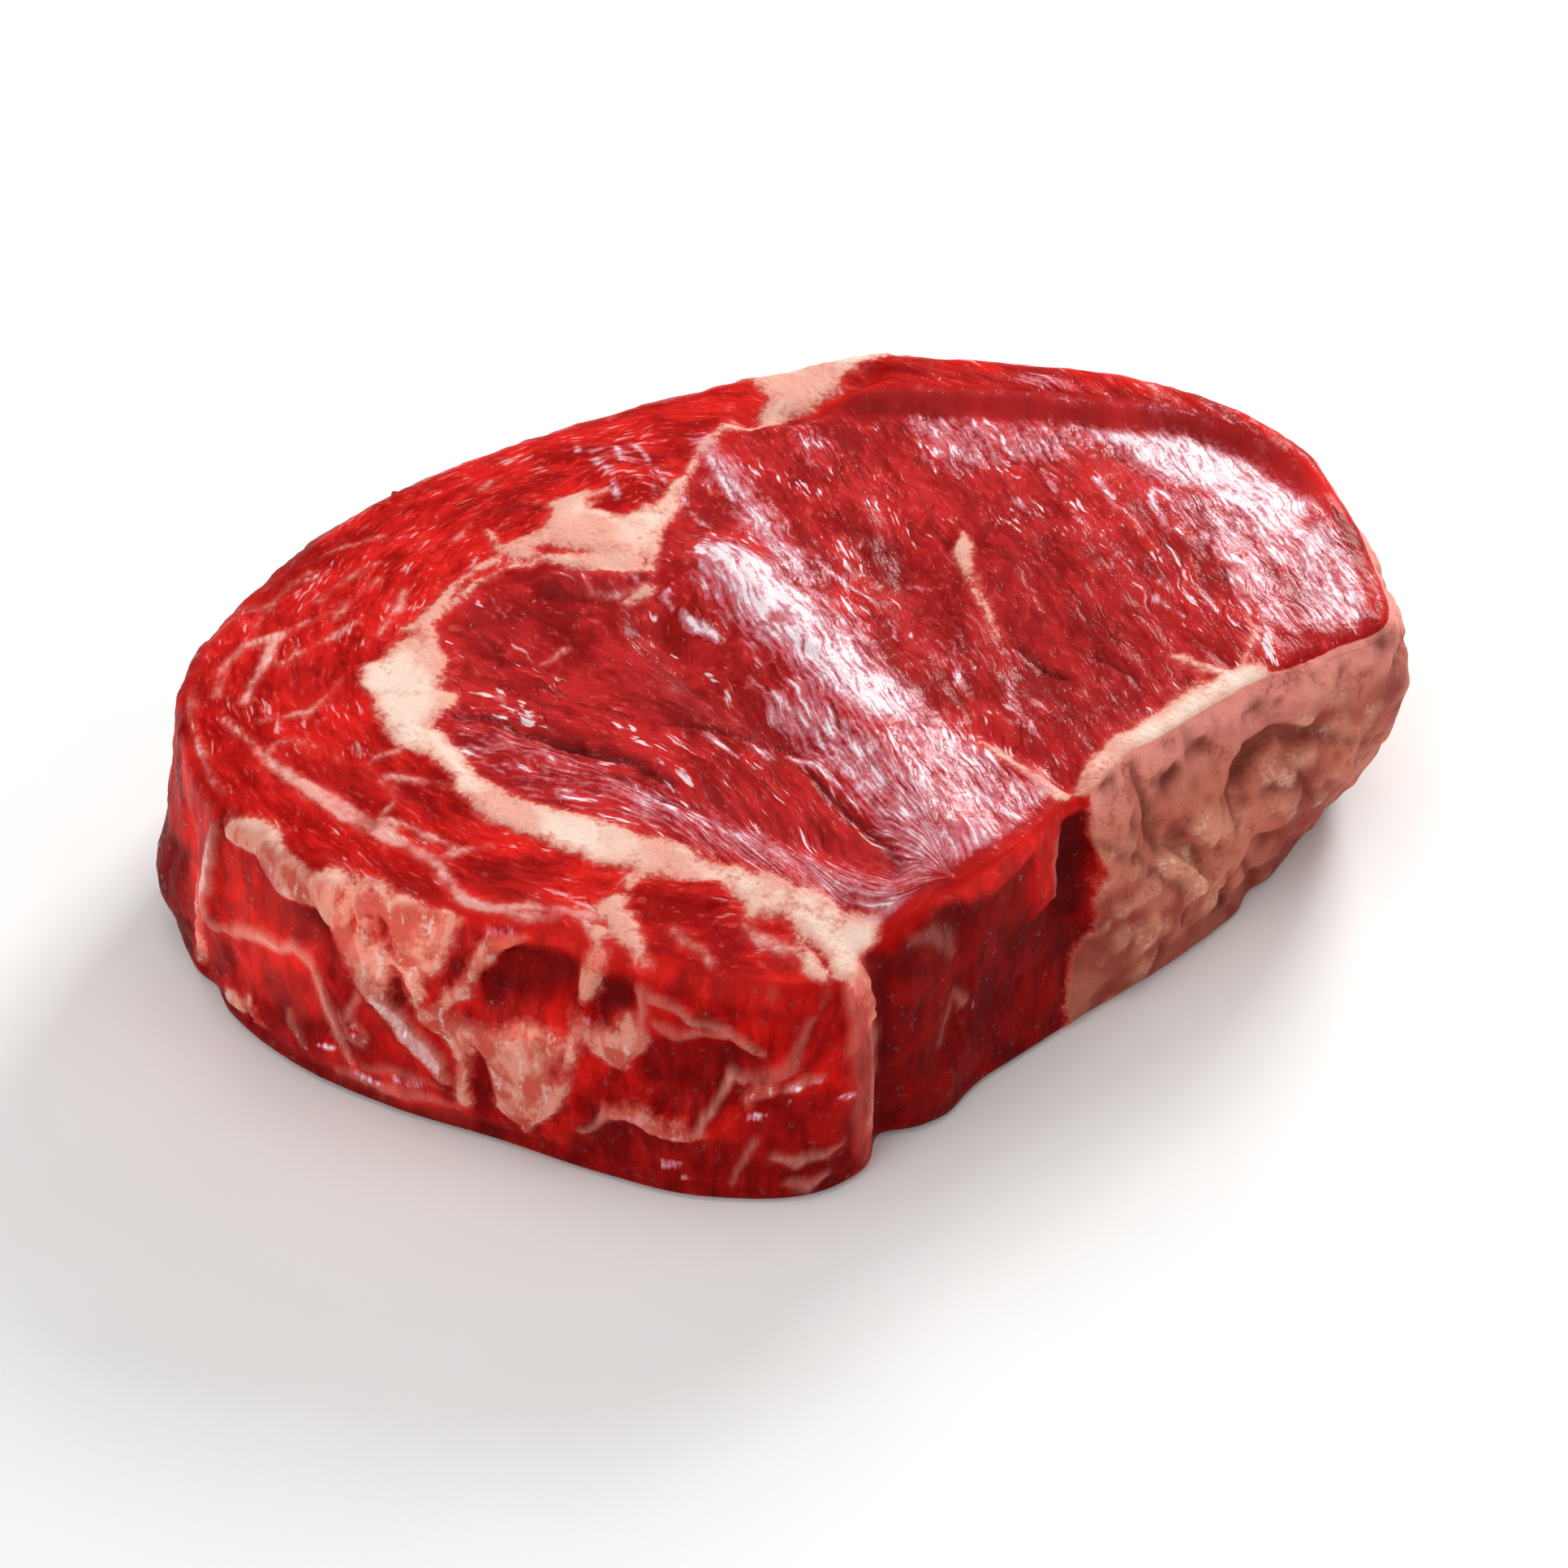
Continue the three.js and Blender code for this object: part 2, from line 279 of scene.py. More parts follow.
@dataclass(frozen=True)
class Marks:
    """Strokes and patches of one kind, whose edges are soft over a half width."""

    marks: tuple[Stroke | Patch, ...]
    soft: float = 0.0

    def depth(self, x: Array, y: Array) -> Array:
        """The greatest depth in any of the marks."""
        return np.max([mark.depth(x, y) for mark in self.marks], axis=0)

    def strength(self, x: Array, y: Array) -> Array:
        """The strongest weight of the marks, eased over their soft edges."""
        return np.max([
            mark.weight * ease(-self.soft, self.soft, mark.depth(x, y)) for mark in self.marks
        ], axis=0)


# -------- the cut of meat


@dataclass(frozen=True)
class Landmark:
    """One named place round the steak, in millimetres: the rim and the foot in plan, how far the
    rim drops, the radius of its edge, and how far the wall bulges below it."""

    name: str
    rim: Point
    foot: Point
    drop: float
    edge: float
    bulge: float


LANDMARKS = (
    Landmark("front corner", (6, -54.5), (5.5, -59.3), 4, 3.5, 0.5),
    Landmark("front lobe", (17, -46.2), (17.5, -47.6), 0.5, 2, 1),
    Landmark("flank", (27, -37.5), (28.2, -38.8), 0, 1.4, 0.8),
    Landmark("cap edge", (35.5, -27.5), (37, -31.2), 0, 1.6, 0.6),
    Landmark("cap near", (46, -17.5), (48, -22.2), 0, 3, 1.2),
    Landmark("cap middle", (57, -8.5), (58, -12.6), 0, 3, 1.8),
    Landmark("cap far", (67.5, -2.2), (66.3, 0), 0, 3, 3),
    Landmark("cap corner", (75.4, 3.5), (71, 8.5), 0, 3, 4),
    Landmark("right side", (75.3, 16.5), (73.5, 19), 0.3, 3, 3),
    Landmark("lip end", (71.9, 31), (70.5, 32), 0.2, 2.5, 2.5),
    Landmark("lip shoulder", (65.2, 42.8), (64, 41.5), 0.4, 2.5, 2),
    Landmark("lip", (55.2, 50.8), (54.5, 49.2), 0.2, 2.5, 2),
    Landmark("lip back", (42.5, 55.4), (42.5, 54), 0, 2.5, 2),
    Landmark("back right", (28.5, 58.2), (28.5, 57), 0.2, 2.5, 2),
    Landmark("back", (14, 59.8), (14, 58.5), 0.4, 2.5, 2),
    Landmark("back fat", (0, 57.9), (0, 56), 0, 3, 2),
    Landmark("back left", (-13, 54.2), (-13, 52), 0.6, 3.5, 2),
    Landmark("brow one", (-25, 50), (-25.5, 47.6), 1.2, 4, 2),
    Landmark("brow two", (-37.2, 43.6), (-38, 41.2), 1.5, 4, 2),
    Landmark("brow three", (-48.6, 35.5), (-50, 33.5), 1.5, 4, 2),
    Landmark("brow four", (-58.6, 25.6), (-60.4, 24), 1.5, 4, 2),
    Landmark("temple", (-65.6, 13.2), (-68.6, 12.5), 1.2, 3.5, 2),
    Landmark("left tip", (-70.4, 2.4), (-73.4, 1), 0.6, 3, 2),
    Landmark("left", (-72, -9), (-74.6, -11), 0.4, 3, 0.8),
    Landmark("left low", (-70.2, -19), (-71.8, -22.8), 0, 2.5, 0),
    Landmark("tail", (-65.4, -28.5), (-65.3, -32.8), 0, 2.5, 0.6),
    Landmark("tail low", (-57, -37), (-56.2, -40.8), 0, 2.5, 0.4),
    Landmark("front left", (-46, -43), (-45.2, -46.8), 0.3, 2.5, 0.4),
    Landmark("front middle", (-34, -47), (-33, -51.6), 0.6, 2.5, 0.4),
    Landmark("front", (-22, -50.3), (-21, -56.8), 1.2, 2.5, 0.4),
    Landmark("front right", (-10, -53.6), (-9, -60.4), 2.4, 3, 0.4),
)


@dataclass(frozen=True)
class Form:
    """The steak's large form, the same as the CAD solid's, in millimetres.

    Face swells and folds are in plan. Wall ones are at a run along the rim from the front corner
    and a height. The sag power shapes the fall of the face towards a rim that drops.
    """

    thickness: float = 34.0
    foot_radius: float = 1.8
    heart: Point = (2.0, 1.0)
    sag_power: float = 6.0
    arc_samples: int = 4000
    landmarks: tuple[Landmark, ...] = LANDMARKS
    face_swells: tuple[Swell, ...] = (
        Swell((-6, 12), (7, 7), 1),
        Swell((46, 20), (16, 14), 1),
        Swell((16, 14), (7, 10), -1.6),
        Swell((32, -6), (10, 8), -1),
        Swell((-28, -2), (14, 10), -0.8),
        Swell((-26, 21), (7, 5), 0.8),
        Swell((-20, 33), (6, 6), 1),
        Swell((11, -48), (7, 5), -1),
    )
    face_folds: tuple[Fold, ...] = (
        Fold(((-8, 14), (0, 5), (5, -5), (10, -15), (15, -25), (18, -33)), 6, 2),
        Fold(((-15, 2), (-10, -8), (2, -19)), 3, -1.4),
        Fold(((-30, -16), (-12, -27), (-5, -31), (5, -36), (13, -40)), 2, -0.9),
        Fold(((24, -17), (31, -23), (35, -27)), 2, -0.8),
        Fold(((-4, 46), (4, 48), (12, 54)), 2, -1.4),
    )
    lip_edge: tuple[Point, ...] = (
        (3, 49), (20, 48), (30, 47.4), (40, 45.8), (50, 44.6), (57, 41.6), (62, 37), (70, 28),
    )
    lip_height: float = 1.7
    lip_slope: float = 1.5
    lip_fade: float = 0.12
    wall_swells: tuple[Swell, ...] = (
        Swell((-97, 9), (8, 8), 3.6),
        Swell((-5, 31), (7, 4), 1),
        Swell((-2, 12), (8, 8), 0.8),
        Swell((-54, 28), (6, 6), 0.8),
        Swell((-38, 13), (6, 6), 0.9),
        Swell((-25.3, 20.2), (3.4, 3.4), 0.9),
        Swell((-36, 26), (6, 4), -1.2),
        Swell((-15, 18), (6, 4), -1.1),
        Swell((16, 3), (4, 7), 1.6),
        Swell((27, 13), (8, 9), -1.2),
        Swell((38.8, 23), (3.2, 8), -3),
        Swell((46, 24), (4, 4), 1.2),
        Swell((60, 22), (5, 6), 1.7),
        Swell((73, 19), (4, 4), 1.4),
        Swell((78, 28), (4, 3), 0.9),
        Swell((52, 7), (8, 5), 0.9),
        Swell((84, 17), (5, 8), 1.1),
        Swell((128, 12), (10, 8), 1),
        Swell((165, 20), (12, 9), 1),
        Swell((-175, 14), (12, 8), -1.2),
        Swell((-140, 13), (12, 8), 1),
    )
    wall_folds: tuple[Fold, ...] = (
        Fold(((4.5, 34), (6.5, 28), (7.2, 20), (7, 13), (8.3, 6), (9, 0)), 2.4, -2.2),
        Fold(((17, 32), (19.5, 20), (17, 10)), 2, -1.1),
        Fold(((50, 32), (52, 22), (56, 17), (59, 13)), 2, -1.3),
        Fold(((66, 23), (66, 18), (70, 13), (72, 0)), 2, -1.2),
        Fold(((66, 22), (69, 25.5), (78, 25.5)), 2, -1),
        Fold(((-61, 27), (-64, 18), (-60, 5)), 2, -0.9),
        Fold(((-88, 24), (-87, 12), (-85, 0)), 2.4, -1),
        Fold(((-78, 30), (-80.5, 21), (-80.5, 16)), 2, 0.7),
        Fold(((-60, 33), (-58, 22), (-47, 9.5)), 2, 1),
        Fold(((-37, 31), (-42, 26), (-48, 18)), 2, 0.8),
        Fold(((-36.5, 6.5), (-31.5, 15), (-28, 27), (-25, 33)), 2, 0.9),
        Fold(((-22, 27.5), (-17, 26.5), (-9, 23)), 2, 0.8),
        Fold(((-29, 8), (-24.5, 12.3), (-19, 10), (-15.5, 11), (-11.5, 18.5), (-5, 20)), 2, 1),
    )

    def closed_curve(self, corners: Array, t: Array) -> Array:
        """A closed centripetal Catmull-Rom curve: cubic spans whose end slopes come from the
        neighbouring corners, spaced by the square root of their distance.

        Args:
            corners: the corners, one row each.
            t: places on the curve, where 0 to 1 is one round.

        Returns:
            The curve's points, one row each.
        """
        count = len(corners)
        place = (t % 1.0) * count
        i = np.floor(place).astype(int) % count
        q = (place - np.floor(place))[:, None]
        p0, p1, p2, p3 = (corners[(i + k) % count] for k in (-1, 0, 1, 2))

        def gap(a: Array, b: Array) -> Array:
            """Square root of the distance."""
            return np.sqrt(np.linalg.norm(b - a, axis=1, keepdims=True))

        d0, d1, d2 = gap(p0, p1), gap(p1, p2), gap(p2, p3)
        m1 = ((p1 - p0) / d0 - (p2 - p0) / (d0 + d1) + (p2 - p1) / d1) * d1
        m2 = ((p2 - p1) / d1 - (p3 - p1) / (d1 + d2) + (p3 - p2) / d2) * d1
        rise, turn = q * q * (3 - 2 * q), q * (1 - q)
        return p1 * (1 - rise) + p2 * rise + turn * ((1 - q) * m1 - q * m2)

    def rim_curve(self, t: Array) -> Array:
        """The rim in plan, with minus the drop as the third coordinate."""
        corners = np.array([(*mark.rim, -mark.drop) for mark in self.landmarks], float)
        return self.closed_curve(corners, t)

    def foot_curve(self, t: Array) -> Array:
        """The foot in plan, with the bulge as the third coordinate."""
        corners = np.array([(*mark.foot, mark.bulge) for mark in self.landmarks], float)
        return self.closed_curve(corners, t)

    def face_relief(self, x: Array, y: Array) -> Array:
        """Height of the upper face over its mean plane: the swells, the folds, and the lip as an
        eased step across its edge that fades at both ends.

        Args:
            x: plan coordinates.
            y: plan coordinates.

        Returns:
            The height at each point.
        """
        off, run, left = nearest(x, y, self.lip_edge)
        ends = ease(0.0, self.lip_fade, run) * ease(0.0, self.lip_fade, 1.0 - run)
        step = ease(-self.lip_slope, self.lip_slope, np.where(left, off, -off))
        lip = self.lip_height * step * ends
        return sum((feature.at_points(x, y) for feature in self.face_swells + self.face_folds), lip)

    def wall_relief(self, run: Array, z: Array) -> Array:
        """How far the wall stands out: the sum of its swells and folds."""
        return sum(feature.at_points(run, z) for feature in self.wall_swells + self.wall_folds)

    def columns(self, u: Array) -> dict[str, Array]:
        """The wall's columns at shares u of the way round the rim.

        Args:
            u: the shares, from 0 to 1.

        Returns:
            Arrays named rim, foot, out, edge, drop, run, top and bulge.
        """
        samples = np.linspace(0.0, 1.0, self.arc_samples + 1)
        steps = np.linalg.norm(np.diff(self.rim_curve(samples), axis=0), axis=1)
        reached = np.concatenate([[0.0], np.cumsum(steps)])
        t = np.interp((u % 1.0) * reached[-1], reached, samples)
        rim, foot = self.rim_curve(t), self.foot_curve(t)
        nudge = 1e-4  # share of a round, for the rim's direction
        along = self.rim_curve(t + nudge)[:, :2] - self.rim_curve(t - nudge)[:, :2]
        along /= np.linalg.norm(along, axis=1, keepdims=True)
        out = np.stack([along[:, 1], -along[:, 0]], axis=1)
        edges = np.array([mark.edge for mark in self.landmarks])
        place = t * len(edges)
        i = np.floor(place).astype(int) % len(edges)
        blend = ease(0.0, 1.0, place - np.floor(place))
        edge = edges[i] * (1 - blend) + edges[(i + 1) % len(edges)] * blend
        drop = -rim[:, 2]
        inner = rim[:, :2] - out * edge[:, None]
        top = self.thickness - drop + self.face_relief(inner[:, 0], inner[:, 1])
        run = np.where(u % 1.0 < 0.5, u % 1.0, u % 1.0 - 1.0) * reached[-1]
        return {
            "rim": rim[:, :2], "foot": foot[:, :2], "out": out, "edge": edge,
            "drop": drop, "run": run, "top": top, "bulge": foot[:, 2],
        }

    def wall_points(self, column: dict[str, Array], z: Array, inset: Array) -> Array:
        """Points of the wall: rim to foot in a straight line, pushed out by the bulge's half
        sine and the wall relief, and in by inset where an edge is rounded.

        Args:
            column: the columns.
            z: a height for each column.
            inset: an inset for each column.

        Returns:
            The points, one row each.
        """
        down = np.clip(1.0 - z / column["top"], 0.0, 1.0)
        stand = column["bulge"] * np.sin(np.pi * down) + self.wall_relief(column["run"], z) - inset
        plan = column["rim"] * (1 - down[:, None]) + column["foot"] * down[:, None]
        return np.column_stack([plan + column["out"] * stand[:, None], z])


# -------- what lies on the upper face
# Places are in plan, in millimetres, as the face is drawn when it is level.

EYE = Patch((  # the large round muscle
    (-1, 50), (-10, 38), (-15, 26), (-18, 13), (-28, 14), (-38, 11), (-42, 3), (-41, -9), (-42, -16),
    (-38, -22), (-30, -30), (-14, -37.5), (0, -42), (12, -44), (19, -43), (34, -28), (58, -6), (80, 2),
    (76, 20), (70, 29), (62, 38), (50, 45.5), (30, 48), (10, 49.5),
))

FACE_FAT = Marks((  # seams, wedges and kernels of fat
    Stroke((  # the crescent seam under the eye
        (-41, -17, 1.2), (-38, -22.5, 1.5), (-36, -26, 1.9), (-32, -30, 2.3), (-26, -33, 2.8),
        (-20, -35.4, 3), (-14, -37.6, 2.5), (-8, -39.5, 1.6), (0, -41.5, 1.4), (6, -43.2, 1.6),
        (9, -46, 1.7),
    )),
    Stroke(((-15, -39, 1.2), (-17.5, -42, 0.7), (-19, -45, 1.2), (-17, -47.5, 1.2), (-14.5, -50, 0.9))),
    Stroke(((-20, -47.5, 0.6), (-20.5, -50, 0.5))),
    Patch((  # where the seam meets the front corner
        (-5, -41.5), (0, -41.5), (8, -42), (11, -43.5), (10, -46.5), (9, -51), (7, -52), (5.5, -49.5),
        (1, -47), (3, -45.5), (0, -44), (-3, -44.5),
    )),
    Patch((  # the wedge left of the eye
        (-42.3, 4), (-44, 3.2), (-47.5, -1), (-50.2, -4.5), (-50.3, -7.5), (-48.8, -10), (-48, -13),
        (-46.5, -16), (-45, -18.5), (-42, -20.5), (-40.8, -20), (-41, -15), (-40.5, -13),
        (-38.8, -11.5), (-38.7, -9.5), (-41, -8), (-40.8, -4), (-41.5, 0),
    )),
    Patch((  # the kernel above the eye
        (-37, 22.5), (-35, 19), (-31.5, 20.5), (-29.5, 22), (-28.5, 28.5), (-25, 30), (-22.5, 29.5),
        (-24, 25.5), (-20, 24), (-17, 26), (-14.5, 24.5), (-15.5, 19), (-17.5, 12.5), (-21, 13.2),
        (-26, 14.5), (-30, 16), (-34, 16.5), (-36, 18),
    )),
    Stroke(((-35, 16.5, 0.5), (-38, 14, 0.5), (-40.5, 11.5, 0.6), (-42, 8, 0.7), (-43, 5, 0.9),
            (-45, 2.5, 1))),
    Stroke(((-30, 15.5, 0.4), (-34, 14.6, 0.4), (-37.5, 12, 0.4), (-40, 9, 0.4), (-41.5, 6.5, 0.4))),
    Patch((  # the triangle of fat at the back
        (-4, 46), (-1.5, 50), (-3.5, 54), (-4, 60), (5, 64), (17, 64), (15, 58.5), (10, 54.8),
        (5, 51.3), (1, 49), (-2, 46.5),
    )),
    Stroke((  # the grey strip beside the kernel
        (-16.3, 13, 0.5), (-16, 19, 0.7), (-14.5, 24, 0.7), (-13, 30, 0.7),
    )),
    Stroke((  # the thin seam down from it
        (-3, 46.5, 0.9), (-7, 44.5, 0.8), (-9, 42, 0.8), (-10.5, 38, 0.5), (-12, 34, 0.5),
        (-13.5, 30, 0.7), (-15, 26, 0.6),
    )),
    Stroke((  # the edge of the fat cap
        (62, -6.2, 0.7), (58, -6.8, 1.8), (54, -8, 2.4), (50, -11.2, 2.1), (46, -14.6, 1.7),
        (42, -18, 1.5), (38.5, -21, 1.3), (36, -24, 1.3), (35, -27.5, 1.4), (32.5, -27.5, 1.4),
        (30, -25, 0.9), (27, -21.5, 0.6), (24, -17.5, 0.4),
    )),
    Stroke(((58, -6.4, 0.7), (54, -6.5, 0.9), (51, -5, 0.8), (48, -3, 0.5))),
    Stroke(((23, 21.5, 0.5), (22.8, 19.5, 1.1), (23.2, 17.5, 0.8), (23.6, 14, 0.3), (24.5, 9, 0.25),
            (26.5, 2, 0.2))),
    Stroke(((-19, 8, 0.5), (-17.5, 9, 0.7), (-16, 9.5, 0.4))),
    Patch((  # where the slabs on the wall begin
        (-66, -28.6), (-64, -29.5), (-61, -31.3), (-59, -32.3), (-57.3, -34.5), (-56.4, -36.8),
        (-54.6, -39.6), (-52.4, -42.6), (-54, -47), (-60, -42), (-65, -36),
    )),
    Patch(((-52.2, -40.4), (-50.8, -39.2), (-49.4, -39.7), (-47.5, -41), (-45, -42), (-43, -43),
           (-41, -44.6), (-39, -46.3), (-37, -47), (-34.6, -46.6), (-34.6, -54), (-42, -54), (-50, -51),
           (-53, -45))),
))

FACE_LEAN = Marks((  # red islands inside the fat
    Stroke(((-15.5, -42.6, 1), (-11, -42.6, 1.6), (-6, -42.2, 1.1))),
    Stroke(((-25, -41, 1.6), (-21, -42, 1.8), (-18, -42.5, 0.8))),
    Stroke(((-6, -46, 0.8), (-3, -48, 1.2), (0, -49.5, 0.8))),
    Stroke(((-24, 27.5, 0.3), (-22, 25.8, 0.7), (-20.5, 25, 0.3))),
    Stroke(((-31.5, 17.8, 0.2), (-28, 17, 0.6), (-24, 16.6, 0.2))),
    Stroke(((2, -44.6, 0.2), (5, -46.5, 0.5), (7, -49, 0.3))),
    Stroke(((-49.6, -43.6, 0.1), (-47.5, -43.1, 0.3), (-45.4, -43.9, 0.3), (-44, -45.2, 0.1))),
    Stroke(((-43, -43.4, 0.1), (-41, -45.1, 0.3), (-39.2, -46.8, 0.1))),
    Stroke(((-62, -34.6, 0.1), (-60.8, -34.2, 0.3), (-59.6, -33.8, 0.1))),
))

FACE_STREAKS = Marks((  # thin marbling
    Stroke(((-66, -14, 0.2), (-62, -19, 0.5), (-59, -22.5, 0.7), (-56, -25.5, 0.7), (-53, -28, 1.2),
            (-50, -31, 1.3), (-46, -33.5, 1.1), (-42, -36.5, 0.8), (-39, -38.5, 0.8), (-37.5, -41, 0.6),
            (-35, -44, 0.7), (-32, -45, 0.5), (-25, -45.2, 0.4), (-20, -46, 0.5))),
    Stroke(((-48.5, -24, 0.2), (-45, -24.6, 0.35), (-42, -25.3, 0.35), (-38, -26.6, 0.2))),
    Stroke(((-46.5, -25.3, 0.2), (-44.8, -27, 0.4), (-44.4, -29, 0.4), (-45.5, -31, 0.6),
            (-46, -33, 0.5))),
    Stroke(((-45, -31.8, 0.4), (-41.5, -33.6, 0.35), (-37, -36.6, 0.15))),
    Stroke(((-39.5, -38.3, 0.5), (-37, -37.2, 0.3), (-33, -36.3, 0.2))),
    Stroke(((-48, -22.5, 0.2), (-46.5, -20.5, 0.4), (-44.5, -19.6, 0.4))),
    Stroke(((-61.5, -14.5, 0.3), (-58.5, -13.8, 0.45), (-56, -13, 0.3), (-54, -10.5, 0.3),
            (-53.4, -7.5, 0.15))),
    Stroke(((-60, -20.5, 0.3), (-59.2, -18.3, 0.4), (-55.5, -18.6, 0.3), (-52, -21.6, 0.2))),
    Stroke(((-63.8, -11, 0.4), (-63.4, -7.5, 0.55), (-62, -3.5, 0.5), (-61.8, 0, 0.5), (-60, 3, 0.4),
            (-55, 6.5, 0.15))),
    Stroke(((-67.5, -9, 0.5), (-67, -4, 0.4), (-65, -0.5, 0.5), (-62, 1.5, 0.4), (-58, 4.5, 0.2))),
    Stroke(((-60.5, -4, 0.2), (-56, 0, 0.35), (-52, 4.5, 0.15))),
    Stroke(((-69, -17, 0.3), (-67, -23, 0.5), (-64.8, -28, 0.4))),
    Stroke(((-71, -7, 0.5), (-70.5, -12, 0.5), (-69.5, -16, 0.3))),
    Stroke(((-64, 4, 0.3), (-63, 9, 0.4), (-61, 14, 0.3), (-58.5, 16.5, 0.15))),
    Stroke(((-55, 5, 0.2), (-53, 9, 0.3), (-50, 13, 0.15))),
    Stroke(((-49, 2, 0.2), (-47, 7, 0.3), (-46.5, 11, 0.15))),
    Stroke(((-65, 8, 0.3), (-61, 13, 0.35), (-58, 15, 0.2))),
    Stroke(((-57, 9, 0.2), (-54, 14, 0.25), (-50, 17, 0.15))),
    Stroke(((-60, 18, 0.2), (-55, 21, 0.25), (-50, 23, 0.15))),
    Stroke(((-38.5, 32, 0.3), (-37.5, 34.5, 0.4))),
    Stroke(((-41, 21, 0.25), (-39, 24, 0.35))),
    Stroke(((-29, -3, 0.2), (-26, 0, 0.3))),
    Stroke(((-24, 10, 0.3), (-20.5, 9.2, 0.5), (-17, 9.8, 0.3))),
    Stroke(((53, 20, 0.2), (56, 13, 0.25), (58, 7, 0.25), (59, 3, 0.2))),
    Stroke(((58, 2, 0.2), (56, -4.5, 0.3))),
    Stroke(((41, 53, 0.3), (46, 52.5, 0.4), (52, 52, 0.25))),
    Stroke(((49.5, 50, 0.3), (49.5, 46, 0.2))),
    Stroke(((64, 38, 0.4), (65, 36, 0.3))),
    Stroke(((-13, -50.5, 0.4), (-6, -52.5, 0.5), (0, -51.2, 0.6), (4, -52, 0.4))),
    Stroke(((-12, -46.5, 0.3), (-8, -48.5, 0.5), (-7, -51, 0.3))),
    Stroke(((-4, -45.5, 0.3), (-2, -46.5, 0.5), (1.5, -47.5, 0.3))),
    Stroke(((-36, -47, 0.5), (-30, -46.4, 0.7), (-25, -46, 0.5))),
    Stroke(((-22, -46, 0.3), (-20, -49.5, 0.5), (-16, -51, 0.3))),
))

FACE_SHEEN = Marks((  # wet places with a painted silvery sheen, with soft edges
    Patch((  # the top of the ridge
        (-11, 14), (-6, 15.5), (-1, 12), (3, 7.5), (6.5, 2), (10, -3.5), (14, -8), (17, -12), (16, -18),
        (11, -20), (7, -15), (2, -8), (-2, -3), (-6, 3), (-9.5, 8),
    ), 0.95),
    Patch((  # where it fans out towards the notch
        (2, -8), (7, -15), (11, -20), (16, -18), (17, -12), (22, -16), (26, -21), (34, -28),
        (31.5, -33), (26.5, -37.5), (21.5, -41), (15, -42), (11, -34), (7, -27), (3, -19), (-1, -12),
    ), 0.62),
    Patch(((-13, 19), (-8, 19.5), (-4, 15), (-10, 14)), 0.4),
    Stroke(((-10, 41.5, 1.2), (-8, 36, 2.2), (-4, 27, 2.2), (0, 17.5, 2.2), (4.5, 8, 1.2),
            (11, -4, 0.8)), 0.8),
    Stroke(((-28, 12, 0.8), (-18, 11.6, 0.8)), 0.5),
    Stroke(((-19, -25.5, 1), (-15, -29.5, 2.4), (-9, -32, 2.6), (-3, -35.5, 2.6), (4, -38.3, 2.2),
            (12, -41, 2.4)), 0.6),
    Patch(((8, -41.5), (13, -40), (16, -42), (19, -43), (19, -46), (14, -46.5), (11, -45)), 0.65),
    Patch((  # the pink lower left of the eye
        (-40, -13), (-34, -13.5), (-27, -16), (-19, -21), (-12, -25), (-4, -29), (-8, -35), (-18, -33),
        (-29, -29), (-36, -23), (-40, -18),
    ), 0.29),
    Patch((  # the far right
        (36, 46.3), (43, 44.8), (48, 44.8), (52, 44), (58, 41.5), (63, 37), (67, 32), (69, 27),
        (66, 24), (63, 18), (61.5, 12), (60.5, 18), (58, 25), (52, 30), (47, 33), (45, 37), (42, 41),
        (38, 43.5),
    ), 0.95),
    Patch(((46, 30), (52, 29), (58, 24), (62, 12), (64, 5), (62, 1.5), (58.5, 2), (57, 8), (55, 14),
           (53, 20), (50, 25)), 0.62),
    Patch(((64, 24), (72, 24), (75.5, 15), (76, 4), (70, 2.5), (63, 2), (64, 8), (63, 16)), 0.72),
    Patch(((15, 47), (22, 47.6), (30, 47), (37, 46), (42, 41), (38, 37), (30, 35.5), (22, 34),
           (18, 38)), 0.52),
    Patch(((1, 46), (5, 46), (7, 38), (5, 33), (2, 38)), 0.35),
    Patch(((32, 54), (38, 52), (39, 48), (34, 47.5), (30, 50)), 0.55),
    Stroke(((-24, 40, 1.6), (-19, 37, 2.4), (-15, 33, 1.6)), 0.3),
), soft=3.2)

